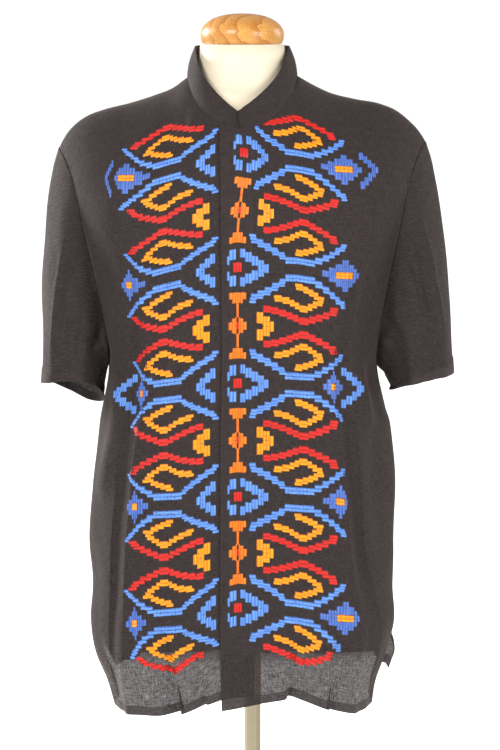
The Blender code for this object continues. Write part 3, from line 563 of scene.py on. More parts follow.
def body(q, v, face, hem=BEHIND):
    """A panel with its creases and the small unevenness of worn cloth."""
    q, v = np.broadcast_arrays(np.asarray(q, float), np.asarray(v, float))
    shape = q.shape
    q, v = q.ravel(), v.ravel()
    if face > 0:
        at = smooth_body(q, v, face, hem)
    else:
        hem_z = along(q, HEM, hem)
        z = np.where(v <= 1, hem_z + (UNDERARM - hem_z) * v,
                     UNDERARM + (top_height(q, -1) - UNDERARM) * (v - 1))
        lies_at, back_by, push = pressed(q, z)
        at = smooth_body(lies_at, v, face, hem)
        at[:, 1] += back_by - push
    rise = crease_rise(at[:, 0], at[:, 2], face, CREASES)
    rise += 0.00042 * unevenness(np.arctan2(at[:, 0], -at[:, 1]) * 0.16, at[:, 2])
    # sewn edges lie still
    rise *= ease((2 - v) / 0.10) * ease((1.002 - np.abs(q)) / 0.05) * ease((v + 0.10) / 0.15)
    at[:, :2] += unit(at[:, :2] - np.array([MIDDLE_X, 0.0])) * rise[:, None]
    return at.reshape(shape + (3,))


def grid_normals(g):
    return unit(np.cross(np.gradient(g, axis=1), np.gradient(g, axis=0)))


def run_along(points, axis=0):
    """How far along the cloth each point of a line or a grid lies from the first."""
    steps = np.linalg.norm(np.diff(points, axis=axis), axis=-1)
    return np.insert(np.cumsum(steps, axis=axis), 0, 0.0, axis=axis)


def cloth_grid(name, points, thick, closed=False):
    """A sheet through a grid of points, cut at its edges and given a thickness.

    Its UV map is the cloth laid flat, in metres. thick is the share of the
    whole thickness at each point, so that hems come out doubled.
    """
    rows, cols = points.shape[:2]
    alone()
    bpy.ops.mesh.primitive_grid_add(x_subdivisions=cols - 1, y_subdivisions=rows - 1, size=1)
    piece = bpy.context.object
    piece.name = piece.data.name = name
    mesh = piece.data
    across, up = run_along(points, 1), run_along(points, 0)
    across -= across[:, cols // 2, None]
    mesh.vertices.foreach_set("co", points.reshape(-1).astype(np.float32))
    corner = np.empty(len(mesh.loops), np.int32)
    mesh.loops.foreach_get("vertex_index", corner)
    flat = np.stack([across.ravel(), up.ravel()], -1)[corner]
    mesh.uv_layers[0].name = "cloth"
    mesh.uv_layers["cloth"].data.foreach_set("uv", flat.reshape(-1).astype(np.float32))
    mesh.update()
    weight = piece.vertex_groups.new(name="layers")
    for share in np.unique(np.round(thick, 2)):
        weight.add(np.nonzero(np.round(thick, 2).ravel() == share)[0].tolist(), float(share), "REPLACE")
    if closed:
        bpy.ops.object.mode_set(mode="EDIT")
        bpy.ops.mesh.select_all(action="SELECT")
        bpy.ops.mesh.remove_doubles(threshold=0.00002)
        bpy.ops.object.mode_set(mode="OBJECT")
    bpy.ops.object.shade_smooth()
    wall = piece.modifiers.new("cloth", "SOLIDIFY")
    wall.thickness = HEM_FOLD
    wall.offset = -1
    wall.vertex_group = "layers"
    wall.use_even_offset = False
    bpy.ops.object.modifier_apply(modifier="cloth")
    return piece


def sum_of(nodes, links, kind, *values):
    """Put values or sockets through one Math node."""
    node = nodes.new("ShaderNodeMath")
    node.operation = kind
    for i, value in enumerate(values):
        if isinstance(value, (int, float)):
            node.inputs[i].default_value = value
        else:
            links.new(value, node.inputs[i])
    return node.outputs[0]


def weave_group():
    """Plain weave with slubs, read from the cloth's own flat map in metres."""
    g = bpy.data.node_groups.new("slub_weave", "ShaderNodeTree")
    group_socket(g, "Threads per metre", "NodeSocketFloat", "INPUT", 2400.0)
    group_socket(g, "Weave", "NodeSocketFloat", "OUTPUT")
    group_socket(g, "Slub", "NodeSocketFloat", "OUTPUT")
    n, k = g.nodes, g.links
    gin, gout = n.new("NodeGroupInput"), n.new("NodeGroupOutput")
    flat = n.new("ShaderNodeUVMap")
    flat.uv_map = "cloth"
    both = n.new("ShaderNodeSeparateXYZ")
    k.new(flat.outputs["UV"], both.inputs["Vector"])
    waves = []
    for axis in ("X", "Y"):
        count = sum_of(n, k, "MULTIPLY", both.outputs[axis], gin.outputs["Threads per metre"])
        waves.append(sum_of(n, k, "SINE", sum_of(n, k, "MULTIPLY", count, math.pi)))
    weave = sum_of(n, k, "MULTIPLY", *waves)
    k.new(sum_of(n, k, "MULTIPLY_ADD", weave, 0.5, 0.5), gout.inputs["Weave"])
    slubs = []
    for stretch in ((720.0, 110.0, 1.0), (95.0, 660.0, 1.0)):
        place = n.new("ShaderNodeMapping")
        place.inputs["Scale"].default_value = stretch
        k.new(flat.outputs["UV"], place.inputs["Vector"])
        noise = n.new("ShaderNodeTexNoise")
        noise.inputs["Scale"].default_value = 1.0
        noise.inputs["Detail"].default_value = 2.0
        k.new(place.outputs["Vector"], noise.inputs["Vector"])
        slubs.append(noise.outputs["Fac"])
    k.new(sum_of(n, k, "MULTIPLY", sum_of(n, k, "ADD", *slubs), 0.5), gout.inputs["Slub"])
    return g


WEAVE = weave_group()
HEM_WIDE = 0.0105         # the turned hem, on the cloth
BAND_MIDDLE, BAND_HALF = -0.0180, 0.0182      # the doubled band down the front


def navy_cotton(name, dark, light):
    """Thin cotton. Light shows through it by place: most below the form's edge, some at the
    sides, and less where it is doubled. Past a thin even share, this see-through is painted backlight,
    standing in for light passing through the cloth where the form does not block it."""
    m, n, k, shader = new_material(name, 0.85, Specular_IOR_Level=0.2, Sheen_Weight=0.13,
                                   Sheen_Roughness=0.40, Sheen_Tint=(0.85, 0.70, 0.62, 1))
    weave = n.new("ShaderNodeGroup")
    weave.node_tree = WEAVE
    weave.inputs["Threads per metre"].default_value = 2000.0
    tone = sum_of(n, k, "MULTIPLY_ADD", weave.outputs["Weave"], 0.24, weave.outputs["Slub"])
    blend_colours(n, k, tone, dark, light, shader.inputs["Base Color"], 0.42, 0.82)
    spread(n, k, weave.outputs["Slub"], 0.92, 0.72, shader.inputs["Roughness"])
    relief(n, k, shader, tone, 0.00010, 0.6)
    place, flat = n.new("ShaderNodeTexCoord"), n.new("ShaderNodeUVMap")
    flat.uv_map = "cloth"
    at, on_cloth = n.new("ShaderNodeSeparateXYZ"), n.new("ShaderNodeSeparateXYZ")
    k.new(place.outputs["Object"], at.inputs["Vector"])
    k.new(flat.outputs["UV"], on_cloth.inputs["Vector"])
    from_middle = sum_of(n, k, "ABSOLUTE", sum_of(n, k, "SUBTRACT", at.outputs["X"], MIDDLE_X))
    # painted backlight: 0 over the form, 1 out at the sleeves and sides and below the form's edge
    beside = n.new("ShaderNodeMapRange")
    below = n.new("ShaderNodeMapRange")
    for ramp, start, stop, source in ((beside, 0.125, 0.215, from_middle),
                                      (below, 0.600, 0.572, at.outputs["Z"])):
        ramp.interpolation_type = "SMOOTHSTEP"
        ramp.inputs["From Min"].default_value = start
        ramp.inputs["From Max"].default_value = stop
        k.new(source, ramp.inputs["Value"])
    painted_backlight = sum_of(n, k, "MAXIMUM", below.outputs["Result"],
                   sum_of(n, k, "MULTIPLY", beside.outputs["Result"], 0.45))
    hem = sum_of(n, k, "LESS_THAN", on_cloth.outputs["Y"], HEM_WIDE)
    from_band = sum_of(n, k, "ABSOLUTE", sum_of(n, k, "SUBTRACT", at.outputs["X"], BAND_MIDDLE))
    band = sum_of(n, k, "MULTIPLY", sum_of(n, k, "LESS_THAN", from_band, BAND_HALF),
                  sum_of(n, k, "LESS_THAN", at.outputs["Y"], -0.02))
    double = sum_of(n, k, "MAXIMUM", hem, band)
    # open share of the weave: a thin even part that is real, with the painted backlight added on top, less
    # where the cloth is doubled
    open_part = sum_of(n, k, "MULTIPLY", sum_of(n, k, "MULTIPLY_ADD", painted_backlight, 0.15, 0.10),
                       sum_of(n, k, "MULTIPLY_ADD", double, -0.42, 1.0))
    # the threads themselves stay closed, and the gaps beside the thin ones are open
    gaps = n.new("ShaderNodeMapRange")
    gaps.inputs["From Min"].default_value = 0.44
    gaps.inputs["From Max"].default_value = 0.80
    gaps.inputs["To Min"].default_value = 1.55
    gaps.inputs["To Max"].default_value = 0.35
    k.new(tone, gaps.inputs["Value"])
    k.new(sum_of(n, k, "SUBTRACT", 1.0, sum_of(n, k, "MULTIPLY", open_part, gaps.outputs["Result"])),
          shader.inputs["Alpha"])
    return m


COTTON = navy_cotton("navy_cotton_cloth", (0.0225, 0.0168, 0.0162), (0.044, 0.0330, 0.0315))


def stitch_form():
    """One strand of thread: a low rounded bar whose ends dip into the cloth."""
    alone()
    bpy.ops.mesh.primitive_grid_add(x_subdivisions=4, y_subdivisions=2, size=1)
    form = bpy.context.object
    co = np.empty(len(form.data.vertices) * 3)
    form.data.vertices.foreach_get("co", co)
    co = co.reshape(-1, 3)
    faces = np.array([p.vertices[:] for p in form.data.polygons])
    bpy.data.objects.remove(form, do_unlink=True)
    ends = np.where(np.abs(co[:, 0]) > 0.49, -0.35, np.where(np.abs(co[:, 0]) > 0.2, 0.86, 1.0))
    edges = np.where(np.abs(co[:, 1]) > 0.49, -0.12, 1.0)
    height = np.where(ends < 0, ends, np.minimum(ends, edges))
    along_it = np.where(np.abs(co[:, 0]) > 0.49, co[:, 0], co[:, 0] * 1.55)
    return along_it, co[:, 1], height, faces


STITCH = stitch_form()


def thread_piece(name, points, across, tones, material):
    """Copies of the one strand, one for each row of points, as a single piece."""
    count, size = points.shape[:2]
    faces = (STITCH[3][None] + (np.arange(count) * size)[:, None, None]).reshape(-1, 4)
    mesh = bpy.data.meshes.new(name)
    mesh.from_pydata(points.reshape(-1, 3), [], faces.tolist())
    flat = mesh.uv_layers.new(name="strand")
    corner = faces.ravel()
    flat.data.foreach_set("uv", across.reshape(-1, 2)[corner].reshape(-1).astype(np.float32))
    tone = mesh.attributes.new("tone", "FLOAT", "POINT")
    tone.data.foreach_set("value", np.repeat(tones, size).astype(np.float32))
    piece = bpy.data.objects.new(name, mesh)
    bpy.context.scene.collection.objects.link(piece)
    mesh.shade_smooth()
    piece.data.materials.append(material)
    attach(piece, "root")
    return piece


def floss(name, dark, light, rough=0.42):
    """Cotton thread: a soft gloss over fine twisted fibres, and a tone for each strand; on the embroidery
    that tone also carries painted highlight and painted shade.
    """
    m, n, k, shader = new_material(name, rough, Specular_IOR_Level=0.38)
    tone = n.new("ShaderNodeAttribute")
    tone.attribute_name = "tone"
    blend_colours(n, k, tone.outputs["Fac"], dark, light, shader.inputs["Base Color"])
    spread(n, k, tone.outputs["Fac"], rough + 0.08, rough - 0.04, shader.inputs["Roughness"])
    flat = n.new("ShaderNodeUVMap")
    flat.uv_map = "strand"
    place = n.new("ShaderNodeMapping")
    place.inputs["Rotation"].default_value = (0, 0, 0.35)
    k.new(flat.outputs["UV"], place.inputs["Vector"])
    twist = n.new("ShaderNodeTexWave")
    twist.bands_direction = "Y"
    twist.inputs["Scale"].default_value = 900.0
    twist.inputs["Distortion"].default_value = 1.0
    k.new(place.outputs["Vector"], twist.inputs["Vector"])
    relief(n, k, shader, twist.outputs["Fac"], 0.00006, 0.6)
    return m


SEWING_THREAD = floss("navy_sewing_thread", (0.010, 0.008, 0.010), (0.055, 0.045, 0.048), 0.60)
STITCH_LENGTH, STITCH_GAP = 0.0024, 0.0006
THREAD_WIDTH, THREAD_RISE = 0.00055, 0.00034


def sew(name, lines):
    """Rows of machine stitches along lines of (points, normals)."""
    along_it, across_it, height, _ = STITCH
    made, flat = [], []
    for points, normals in lines:
        run = run_along(points)
        starts = np.arange(STITCH_GAP, run[-1] - STITCH_LENGTH, STITCH_LENGTH + STITCH_GAP)
        s = starts[:, None] + STITCH_LENGTH * (0.5 + along_it)
        at = np.stack([np.interp(s, run, points[:, c]) for c in range(3)], -1)
        up = unit(np.stack([np.interp(s, run, normals[:, c]) for c in range(3)], -1))
        way = unit(np.stack([np.interp(s, run, np.gradient(points[:, c], run)) for c in range(3)], -1))
        made.append(at + np.cross(up, way) * (across_it * THREAD_WIDTH)[:, None]
                    + up * (height * THREAD_RISE)[:, None])
        flat.append(np.stack([s, np.broadcast_to(across_it * THREAD_WIDTH, s.shape)], -1))
    made, flat = np.concatenate(made), np.concatenate(flat)
    tones = np.random.default_rng(len(made)).uniform(0.2, 0.8, len(made))
    return thread_piece(name, made, flat, tones, SEWING_THREAD)


def line_across(shape, q, v):
    """A line of a panel along q at the height v, with its normals."""
    g = shape(q[None, :], np.array([v - 0.004, v, v + 0.004])[:, None])
    return g[1], grid_normals(g)[1]


def line_up(shape, q, v):
    """A line of a panel along v at the place q, with its normals."""
    side = -0.003 if shape is back_shape else 0.003
    g = shape(np.array([q - side, q, q + side])[None, :], v[:, None])
    return g[:, 1], grid_normals(g)[:, 1]


def back_shape(q, v):
    return body(q, v, 1, BEHIND)


rows_low = np.linspace(0, 1, 118)
rows_up = 1 + (1 - (1 - np.linspace(0, 1, 100)[1:]) ** 1.7)
ROWS = np.concatenate([rows_low, rows_up])[:, None]
MEAN_HEM = 0.525          # usual height of the hem
VENT_ROW = (VENT - MEAN_HEM) / (UNDERARM - MEAN_HEM)
HEM_ROW = 0.011 / (UNDERARM - MEAN_HEM)
HEM_LINE = HEM_ROW * 0.92             # stitched lines: up in the hem,
VENT_LINE, ARMHOLE_LINE = 0.972, 0.984        # beside the vents and the armholes
HALF_Q = np.concatenate([np.linspace(0, NECK_POINT, 25), np.linspace(NECK_POINT, 1, 75)[1:]])
# the fronts have more columns where the soft line runs down their sides
FRONT_Q = np.concatenate([np.linspace(0, NECK_POINT, 23), np.linspace(NECK_POINT, 0.380, 13)[1:],
                          np.linspace(0.380, 0.690, 76)[1:], np.linspace(0.690, 1, 26)[1:]])
ONE_LAYER = CLOTH / HEM_FOLD

back_q = np.concatenate([HALF_Q[::-1], -HALF_Q[1:]])[None, :]
back_points = body(back_q, ROWS, 1, BEHIND)


def layers(q, v, edges=()):
    """Share of the full thickness: doubled at the hem, the vents and the given edges."""
    q, v = np.broadcast_arrays(q, v)
    double = (v < HEM_ROW) | ((np.abs(q) > 0.965) & (v < VENT_ROW))
    for low, high in edges:
        double = double | ((q > low) & (q < high))
    return np.where(double, 1.0, ONE_LAYER)


back = cloth_grid("back_panel", back_points, layers(back_q, ROWS))
back.data.materials.append(COTTON)
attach(back, "root")
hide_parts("back")
back_lines = [line_across(back_shape, np.linspace(0.96, -0.96, 300), HEM_LINE)]
for side in (-1, 1):
    back_lines.append(line_up(back_shape, VENT_LINE * side, np.linspace(0.03, VENT_ROW, 60)))
    back_lines.append(line_up(back_shape, ARMHOLE_LINE * side, np.linspace(1.02, 1.97, 120)))
back_stitches = sew("back_stitches", back_lines)

# The fronts
# Two panels of the same cotton. The wearer's left one lies on top at the
# closing, its edge turned under to a band 32 mm wide, with hidden fastenings.
TOP_Q = -0.095            # edge of the top front
UNDER_Q = 0.055           # edge of the under front
BAND_Q = 0.045            # end of the turned band on the top front
TACK_ROW = 1.845          # the tack across the band, below the neck

right_q = np.concatenate([-FRONT_Q[:0:-1], np.linspace(0, UNDER_Q, 8)])[None, :]
left_q = np.concatenate([np.linspace(TOP_Q, 0, 14)[:-1], FRONT_Q])[None, :]


def top_lift(q):
    """The top front stands proud of the under one where they lap."""
    return LAYER * np.where(q <= UNDER_Q, 1.15, 1 - ease((q - UNDER_Q) / 0.06))


def front_points(q, v, top):
    g = body(q, v, -1, TOP if top else UNDER)
    if top:
        g = g + grid_normals(g) * top_lift(np.broadcast_to(q, g.shape[:2]))[..., None]
    return g


for name, node, q, top in (("front_panel_right", "front_right", right_q, False),
                           ("front_panel_left", "front_left", left_q, True)):
    points = front_points(q, ROWS, top)
    edge = [(TOP_Q - 0.01, BAND_Q)] if top else [(0.02, UNDER_Q + 0.01)]
    panel = cloth_grid(name, points, layers(q, ROWS, edge))
    panel.data.materials.append(COTTON)
    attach(panel, "root")
    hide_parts(node)


def under_shape(q, v):
    return front_points(q, v, False)


def top_shape(q, v):
    return front_points(q, v, True)


for top, shape, side, first, last in ((False, under_shape, -1, -0.96, UNDER_Q - 0.01),
                                      (True, top_shape, 1, TOP_Q + 0.01, 0.96)):
    lines = [line_across(shape, np.linspace(first, last, 420), HEM_LINE),
             line_up(shape, VENT_LINE * side, np.linspace(0.03, VENT_ROW, 60)),
             line_up(shape, ARMHOLE_LINE * side, np.linspace(1.02, 1.97, 120)),
             line_across(shape, side * np.linspace(NECK_POINT + 0.02, 0.98, 90), 1.984)]
    if top:
        # the band's stitched line, and the tack across it that the fastenings end at
        lines += [line_up(shape, BAND_Q - 0.004, np.linspace(0.02, 1.975, 500)),
                  line_up(shape, TOP_Q + 0.006, np.linspace(0.02, 1.965, 500)),
                  line_across(shape, np.linspace(TOP_Q + 0.008, -0.046, 30), TACK_ROW),
                  line_across(shape, np.linspace(TOP_Q + 0.008, -0.046, 30), TACK_ROW + 0.006)]
    sew("front_stitches_left" if top else "front_stitches_right", lines)

# The sleeves
# Each is one piece of cotton sewn into a tube, set into the dropped armhole
# and hemmed at the open cuff. It hangs in soft folds from the shoulder tip.
CUFF = {
    -1: dict(outer=(0.2360, 0.8840), inner=(0.1640, 0.8680), depth=0.080, tilt=0.030),
    1: dict(outer=(0.2470, 0.8980), inner=(0.1760, 0.8740), depth=0.080, tilt=0.015)}
SLEEVE_FOLDS = np.array([
    # side, place round, drift, start, end, width, rise
    (-1, 0.42, 0.00, 0.00, 1.30, 0.070, -0.0045),
    (-1, 0.62, 0.00, 0.00, 1.30, 0.060, 0.0040),
    (-1, 1.45, 0.00, 0.00, 1.30, 0.090, -0.0045),
    (1, 0.42, 0.00, 0.00, 1.30, 0.070, -0.0045),
    (1, 0.62, 0.00, 0.00, 1.30, 0.060, 0.0040),
    (1, 1.45, 0.00, 0.00, 1.30, 0.090, -0.0045),
    (-1, 0.27, 0.03, 0.15, 0.95, 0.028, 0.0022),
    (-1, 0.33, 0.05, 0.05, 0.80, 0.022, -0.0022),
    (-1, 0.50, 0.05, 0.30, 1.10, 0.026, 0.0024),
    (-1, 0.74, -0.06, 0.00, 0.70, 0.022, -0.0030),
    (-1, 0.82, -0.10, 0.00, 0.55, 0.020, 0.0026),
    (-1, 1.20, 0.08, 0.00, 0.75, 0.028, -0.0034),
    (-1, 1.30, 0.06, 0.10, 1.00, 0.030, 0.0030),
    (-1, 1.62, -0.04, 0.20, 1.10, 0.030, 0.0028),
    (1, 0.22, 0.03, 0.10, 0.90, 0.026, 0.0020),
    (1, 0.30, 0.10, 0.02, 0.70, 0.018, -0.0032),
    (1, 0.37, 0.08, 0.10, 0.80, 0.020, 0.0026),
    (1, 0.52, 0.00, 0.45, 1.15, 0.026, -0.0024),
    (1, 0.70, -0.08, 0.00, 0.65, 0.020, -0.0032),
    (1, 0.80, -0.08, 0.00, 0.60, 0.022, 0.0028),
    (1, 1.22, 0.08, 0.00, 0.75, 0.028, -0.0034),
    (1, 1.34, 0.05, 0.10, 1.00, 0.030, 0.0028),
    (1, 1.60, -0.04, 0.20, 1.10, 0.030, 0.0030)])
STEPS = 96                # points round half an armhole


def sleeve_points(side, rows):
    """The sleeve from its armhole (row 0) to its cuff (row 1), tip to tip round."""
    v = 1 + (1 - (1 - np.linspace(1, 0, STEPS)) ** 1.7)
    edge = np.concatenate([body(np.full(STEPS, float(side)), v, -1, TOP),
                           body(np.full(STEPS, float(side)), v[::-1], 1, BEHIND)[1:]])
    m = len(edge)
    run = run_along(edge)
    low = STEPS - 1
    psi = math.pi * np.where(np.arange(m) <= low, run / run[low],
                             1 + (run - run[low]) / (run[-1] - run[low]))
    cuff = CUFF[side]
    mid = (cuff["outer"][0] + cuff["inner"][0]) / 2
    wide = (cuff["outer"][0] - cuff["inner"][0]) / 2
    cx = np.sign(np.cos(psi)) * np.abs(np.cos(psi)) ** 0.85 * wide + mid
    cy = -np.sign(np.sin(psi)) * np.abs(np.sin(psi)) ** 0.85 * cuff["depth"]
    cz = cuff["inner"][1] + (cuff["outer"][1] - cuff["inner"][1]) * (cx - cuff["inner"][0]) / (2 * wide)
    # the cuff hangs lower behind than in front, most of all next to the body
    cz = cz + cuff["tilt"] * np.sin(psi) * (1 - 0.65 * (cx - cuff["inner"][0]) / (2 * wide))
    end = np.stack([side * cx + MIDDLE_X, cy, cz], -1)
    chord = np.linalg.norm(end - edge, axis=1, keepdims=True)
    lean = np.stack([side * (0.30 + 0.25 * np.sin(psi / 2) ** 2), -0.25 * np.sin(psi), -np.ones(m)], -1)
    t0 = unit(lean) * chord
    t1 = unit(np.stack([np.full(m, side * 0.05), -0.02 * np.sin(psi), -np.ones(m)], -1)) * chord
    w = rows[:, None, None]
    s = (edge * (1 + 2 * w) * (1 - w) ** 2 + t0 * w * (1 - w) ** 2
         + end * w * w * (3 - 2 * w) + t1 * w * w * (w - 1))
    turn = (psi / math.pi)[None, :]
    way = unit(np.stack([side * np.cos(psi), -1.6 * np.sin(psi), np.zeros(m)], -1))
    rise = np.zeros(s.shape[:2])
    down = rows[:, None]
    for _, place, drift, start, stop, width, height in SLEEVE_FOLDS[SLEEVE_FOLDS[:, 0] == side]:
        share = (down - start) / (stop - start)
        if start == 0 and stop > 1.2:
            fade = ease(down / 0.5)
        else:
            fade = ease(share / 0.3) * ease((1 - share) / 0.4)
        rise += height * fade * np.exp(-((turn - place - drift * share) / width) ** 2)
    small = unevenness(*np.broadcast_arrays(turn * 0.16 + 0.7 * side, -down * 0.30))
    rise += 0.00045 * ease(down / 0.08) * small
    return s + way[None] * rise[..., None]


sleeve_rows = np.linspace(0, 1, 96)
CUFF_ROW = 1 - 0.020 / 0.285
sleeves = {}
for side, name, node in ((-1, "sleeve_tube_right", "sleeve_right"), (1, "sleeve_tube_left", "sleeve_left")):
    points = sleeve_points(side, sleeve_rows)
    if side < 0:
        points = points[:, ::-1]
    points = points[::-1]
    sleeves[side] = points
    share = np.where(sleeve_rows[::-1] > CUFF_ROW, 1.0, ONE_LAYER)[:, None]
    share = np.broadcast_to(share, points.shape[:2])
    tube = cloth_grid(name, points, share, closed=True)
    tube.data.materials.append(COTTON)
    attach(tube, "root")
    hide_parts(node)
    normals = grid_normals(points)
    at = int(np.searchsorted(1 - sleeve_rows[::-1], 1 - CUFF_ROW)) - 1
    stitches = sew(name.replace("tube", "stitches"), [(points[at], normals[at])])

# The collar
# A low stand of two layers of cotton, stiffened between, sewn round the
# neckline. Its two ends lap in front in a V, the wearer's left one on top.
COLLAR_FRONT = np.array([
    # share, x,      y,       z
    (0.000, 0.0000, -0.0720, 1.2040), (0.050, 0.0155, -0.0705, 1.2160), (0.098, 0.0300, -0.0650, 1.2295),
    (0.146, 0.0425, -0.0520, 1.2450), (0.195, 0.0510, -0.0310, 1.2620), (0.244, 0.0545, 0.0000, 1.2770)])
COLLAR_BACK = np.array([
    (0.000, 0.0000, 0.0600, 1.2790), (0.050, 0.0150, 0.0585, 1.2790), (0.098, 0.0290, 0.0535, 1.2785),
    (0.146, 0.0415, 0.0430, 1.2780), (0.195, 0.0510, 0.0250, 1.2775), (0.244, 0.0545, 0.0000, 1.2770)])
CLOSING_Q = -0.019        # middle of the closing


def collar_top(q, face):
    shift = CLOSING_Q * (1 - abs(q) / NECK_POINT) if face < 0 else 0.0
    qq = q - shift
    table = COLLAR_FRONT if face < 0 else COLLAR_BACK
    x = math.copysign(float(along(abs(qq), table, 1)), qq) + shift * 0.262 + MIDDLE_X
    return np.array([x, float(along(abs(qq), table, 2)), float(along(abs(qq), table, 3))])


UNDER_END = 0.034         # the under end runs on behind the top one
CUT_BACK = 0.022          # the top end is rounded away at the seam
UNDER_PLACES, UPPER_PLACES = 38, 40   # places along the under and the top end


def round_the_neck(first, last):
    """Places round the neckline, from the under end in front, behind the neck, to the top end."""
    return ([(q, -1) for q in np.linspace(first, -NECK_POINT, UNDER_PLACES)]
            + [(q, 1) for q in np.linspace(-NECK_POINT, NECK_POINT, 61)[1:-1]]
            + [(q, -1) for q in np.linspace(NECK_POINT, last, UPPER_PLACES)])


def seam_place(q, face):
    return smooth_body(np.array([q]), np.array([2.0]), face, TOP)[0]


round_neck = round_the_neck(CLOSING_Q + UNDER_END, CLOSING_Q)
seam = np.array([seam_place(q, f) for q, f in round_neck])
brim = np.array([collar_top(q, f) for q, f in round_neck])
back_to = round_the_neck(CLOSING_Q + UNDER_END, CLOSING_Q + CUT_BACK)
cut = np.array([seam_place(q, f) for q, f in back_to]) - seam
cut[:3 - UPPER_PLACES] = 0            # only the top end is cut back
w = np.linspace(0, 1, 26)[:, None, None]
outward = unit((seam - np.array([MIDDLE_X, 0, 0])) * np.array([1, 1, 0]))
# the under end tucks in behind the top one
tuck_in = np.array([ease((q - CLOSING_Q + 0.030) / 0.030) if i < UNDER_PLACES else 0.0
                    for i, (q, _) in enumerate(round_neck)])
stand = seam[None] * (1 - w) + brim[None] * w + cut[None] * (1 - w) ** 2.2
stand = stand + outward[None] * (0.0022 * np.sin(np.pi * w) - 0.0024 * tuck_in[:, None])
stand = stand[:, ::-1]
collar = cloth_grid("collar_stand", stand, np.ones(stand.shape[:2]))
collar.data.materials.append(COTTON)
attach(collar, "root")
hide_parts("collar")
collar_normals = -grid_normals(stand)
if (collar_normals[10, 20] * outward[::-1][20]).sum() < 0:
    collar_normals = -collar_normals
collar_lines = [(stand[row, :-34], collar_normals[row, :-34]) for row in (2, -3)]
collar_lines.append((stand[2:-2, 3], collar_normals[2:-2, 3]))
collar_stitches = sew("collar_stitches", collar_lines)

# The embroidery
# Floss laid in short floats over the cloth, in a stepped pattern that is
# mirrored about each diamond. It is worked on the two fronts before they are
# sewn up, in soft bundles of three strands.
CHART = 0.001112          # one unit of the chart
AXIS_X = -0.0169          # the chain runs down the top front here
SHIFT_RIGHT_FRONT = 8.7   # the under front's half starts further out
# height of the cloth's weft line through each diamond as the blouse hangs, at places across
LINE_AT = np.array([-150, -125, -100, -60, -30, 0, 30, 60, 100, 125, 150])
DIAMOND_LINES = np.array([
    (1.1293, 1.1301, 1.1307, 1.1433, 1.1496, 1.1600, 1.1540, 1.1505, 1.1412, 1.1391, 1.1384),
    (1.0077, 1.0101, 1.0121, 1.0243, 1.0292, 1.0337, 1.0320, 1.0312, 1.0234, 1.0209, 1.0190),
    (0.8811, 0.8840, 0.8881, 0.8948, 0.8999, 0.9036, 0.9024, 0.9005, 0.8968, 0.8926, 0.8893),
    (0.7513, 0.7560, 0.7599, 0.7633, 0.7713, 0.7743, 0.7728, 0.7700, 0.7669, 0.7624, 0.7580),
    (0.6134, 0.6200, 0.6232, 0.6285, 0.6365, 0.6445, 0.6429, 0.6388, 0.6293, 0.6274, 0.6211)])
ROW_STEP = 114.0          # chart units from diamond to diamond

# one quarter of the pattern, as steps: x from, x to, y from, y to, where x
# runs outward from the chain and y away from the diamond's middle
ARCH = [(12.5, 19.5, 25.5, 34.0), (19.2, 27.0, 22.0, 29.5), (26.6, 34.5, 18.4, 25.7),
        (34.1, 41.8, 14.3, 21.5), (41.4, 48.6, 10.2, 17.0), (48.2, 78.5, 5.8, 11.8),
        (78.1, 86.6, 9.2, 15.2), (86.2, 93.8, 13.6, 19.6), (93.4, 100.0, 18.0, 24.0),
        (99.6, 105.6, 22.0, 29.2), (105.2, 111.5, 26.2, 33.4)]
HOOK = [(37.0, 45.6, 26.4, 31.8), (45.2, 53.2, 28.0, 33.6), (52.8, 58.2, 30.6, 36.2),
        (57.8, 63.0, 33.2, 38.8), (62.6, 71.4, 35.4, 41.0), (71.0, 76.4, 32.8, 38.6),
        (76.0, 81.4, 29.6, 35.6), (81.0, 87.4, 24.2, 32.8), (77.0, 82.4, 20.8, 27.0),
        (71.8, 77.4, 18.6, 24.4), (66.0, 72.2, 16.4, 22.2), (58.5, 66.4, 14.6, 20.2)]
PEAK = [(26.0, 34.0, 36.9, 42.5), (33.6, 42.2, 38.2, 44.0), (41.8, 49.8, 40.4, 46.2),
        (49.4, 56.2, 42.8, 48.8), (55.8, 62.4, 45.2, 51.2), (62.0, 72.6, 47.2, 53.4),
        (72.2, 79.6, 44.8, 51.0), (79.2, 86.8, 42.0, 48.2), (86.4, 94.0, 39.0, 45.2),
        (93.6, 102.6, 33.4, 41.2)]
RING = [(2.5, 7.6, 9.5, 19.0), (7.5, 14.1, 5.5, 16.0), (14.0, 20.6, 2.2, 12.3), (20.5, 26.6, 0.0, 8.4),
        (26.5, 31.5, 0.0, 4.6)]
INNER_RING = [(1.5, 8.4, 7.6, 18.6), (8.2, 10.6, 3.0, 12.4)]
SIDE_RING = [(22.5, 27.8, 6.5, 17.5), (27.6, 33.1, 3.0, 13.5), (33.0, 38.4, 0.0, 8.7),
             (38.2, 42.0, 0.0, 4.3)]
FLOWER = [(85.5, 92.1, 0.0, 3.2), (92.0, 98.6, 0.0, 7.6), (98.5, 105.6, 3.4, 12.0),
          (105.5, 112.6, 3.4, 16.5), (112.5, 119.1, 3.4, 12.0), (119.0, 126.1, 0.0, 7.6),
          (126.0, 132.5, 0.0, 3.2)]
FLOWER_HEART = [(98.8, 118.8, 0.0, 3.3)]
OUTER_RING = [(124.0, 131.0, 11.6, 20.4), (130.8, 137.6, 7.4, 16.4), (137.4, 144.0, 2.6, 12.0),
              (143.8, 150.2, 0.0, 7.7), (150.0, 155.0, 0.0, 3.8)]
BRACKET = [(19.5, 26.0, 2.6, 14.2), (25.8, 32.7, 0.0, 9.8), (32.5, 36.7, 0.0, 5.3)]
KNOT = [(1.0, 2.4, 0.0, 8.6), (2.2, 5.6, 0.0, 7.2), (5.4, 9.0, 0.0, 4.0)]
KNOT_HEART = [(0.0, 1.2, 0.0, 3.4)]
LINK = [(0.0, 5.1, 24.3, 35.4), (4.9, 8.5, 24.3, 31.0)]
STEM = [(0.0, 1.2, 35.2, 49.0)]
SQUARE = [(0.0, 4.1, 0.0, 5.0)]

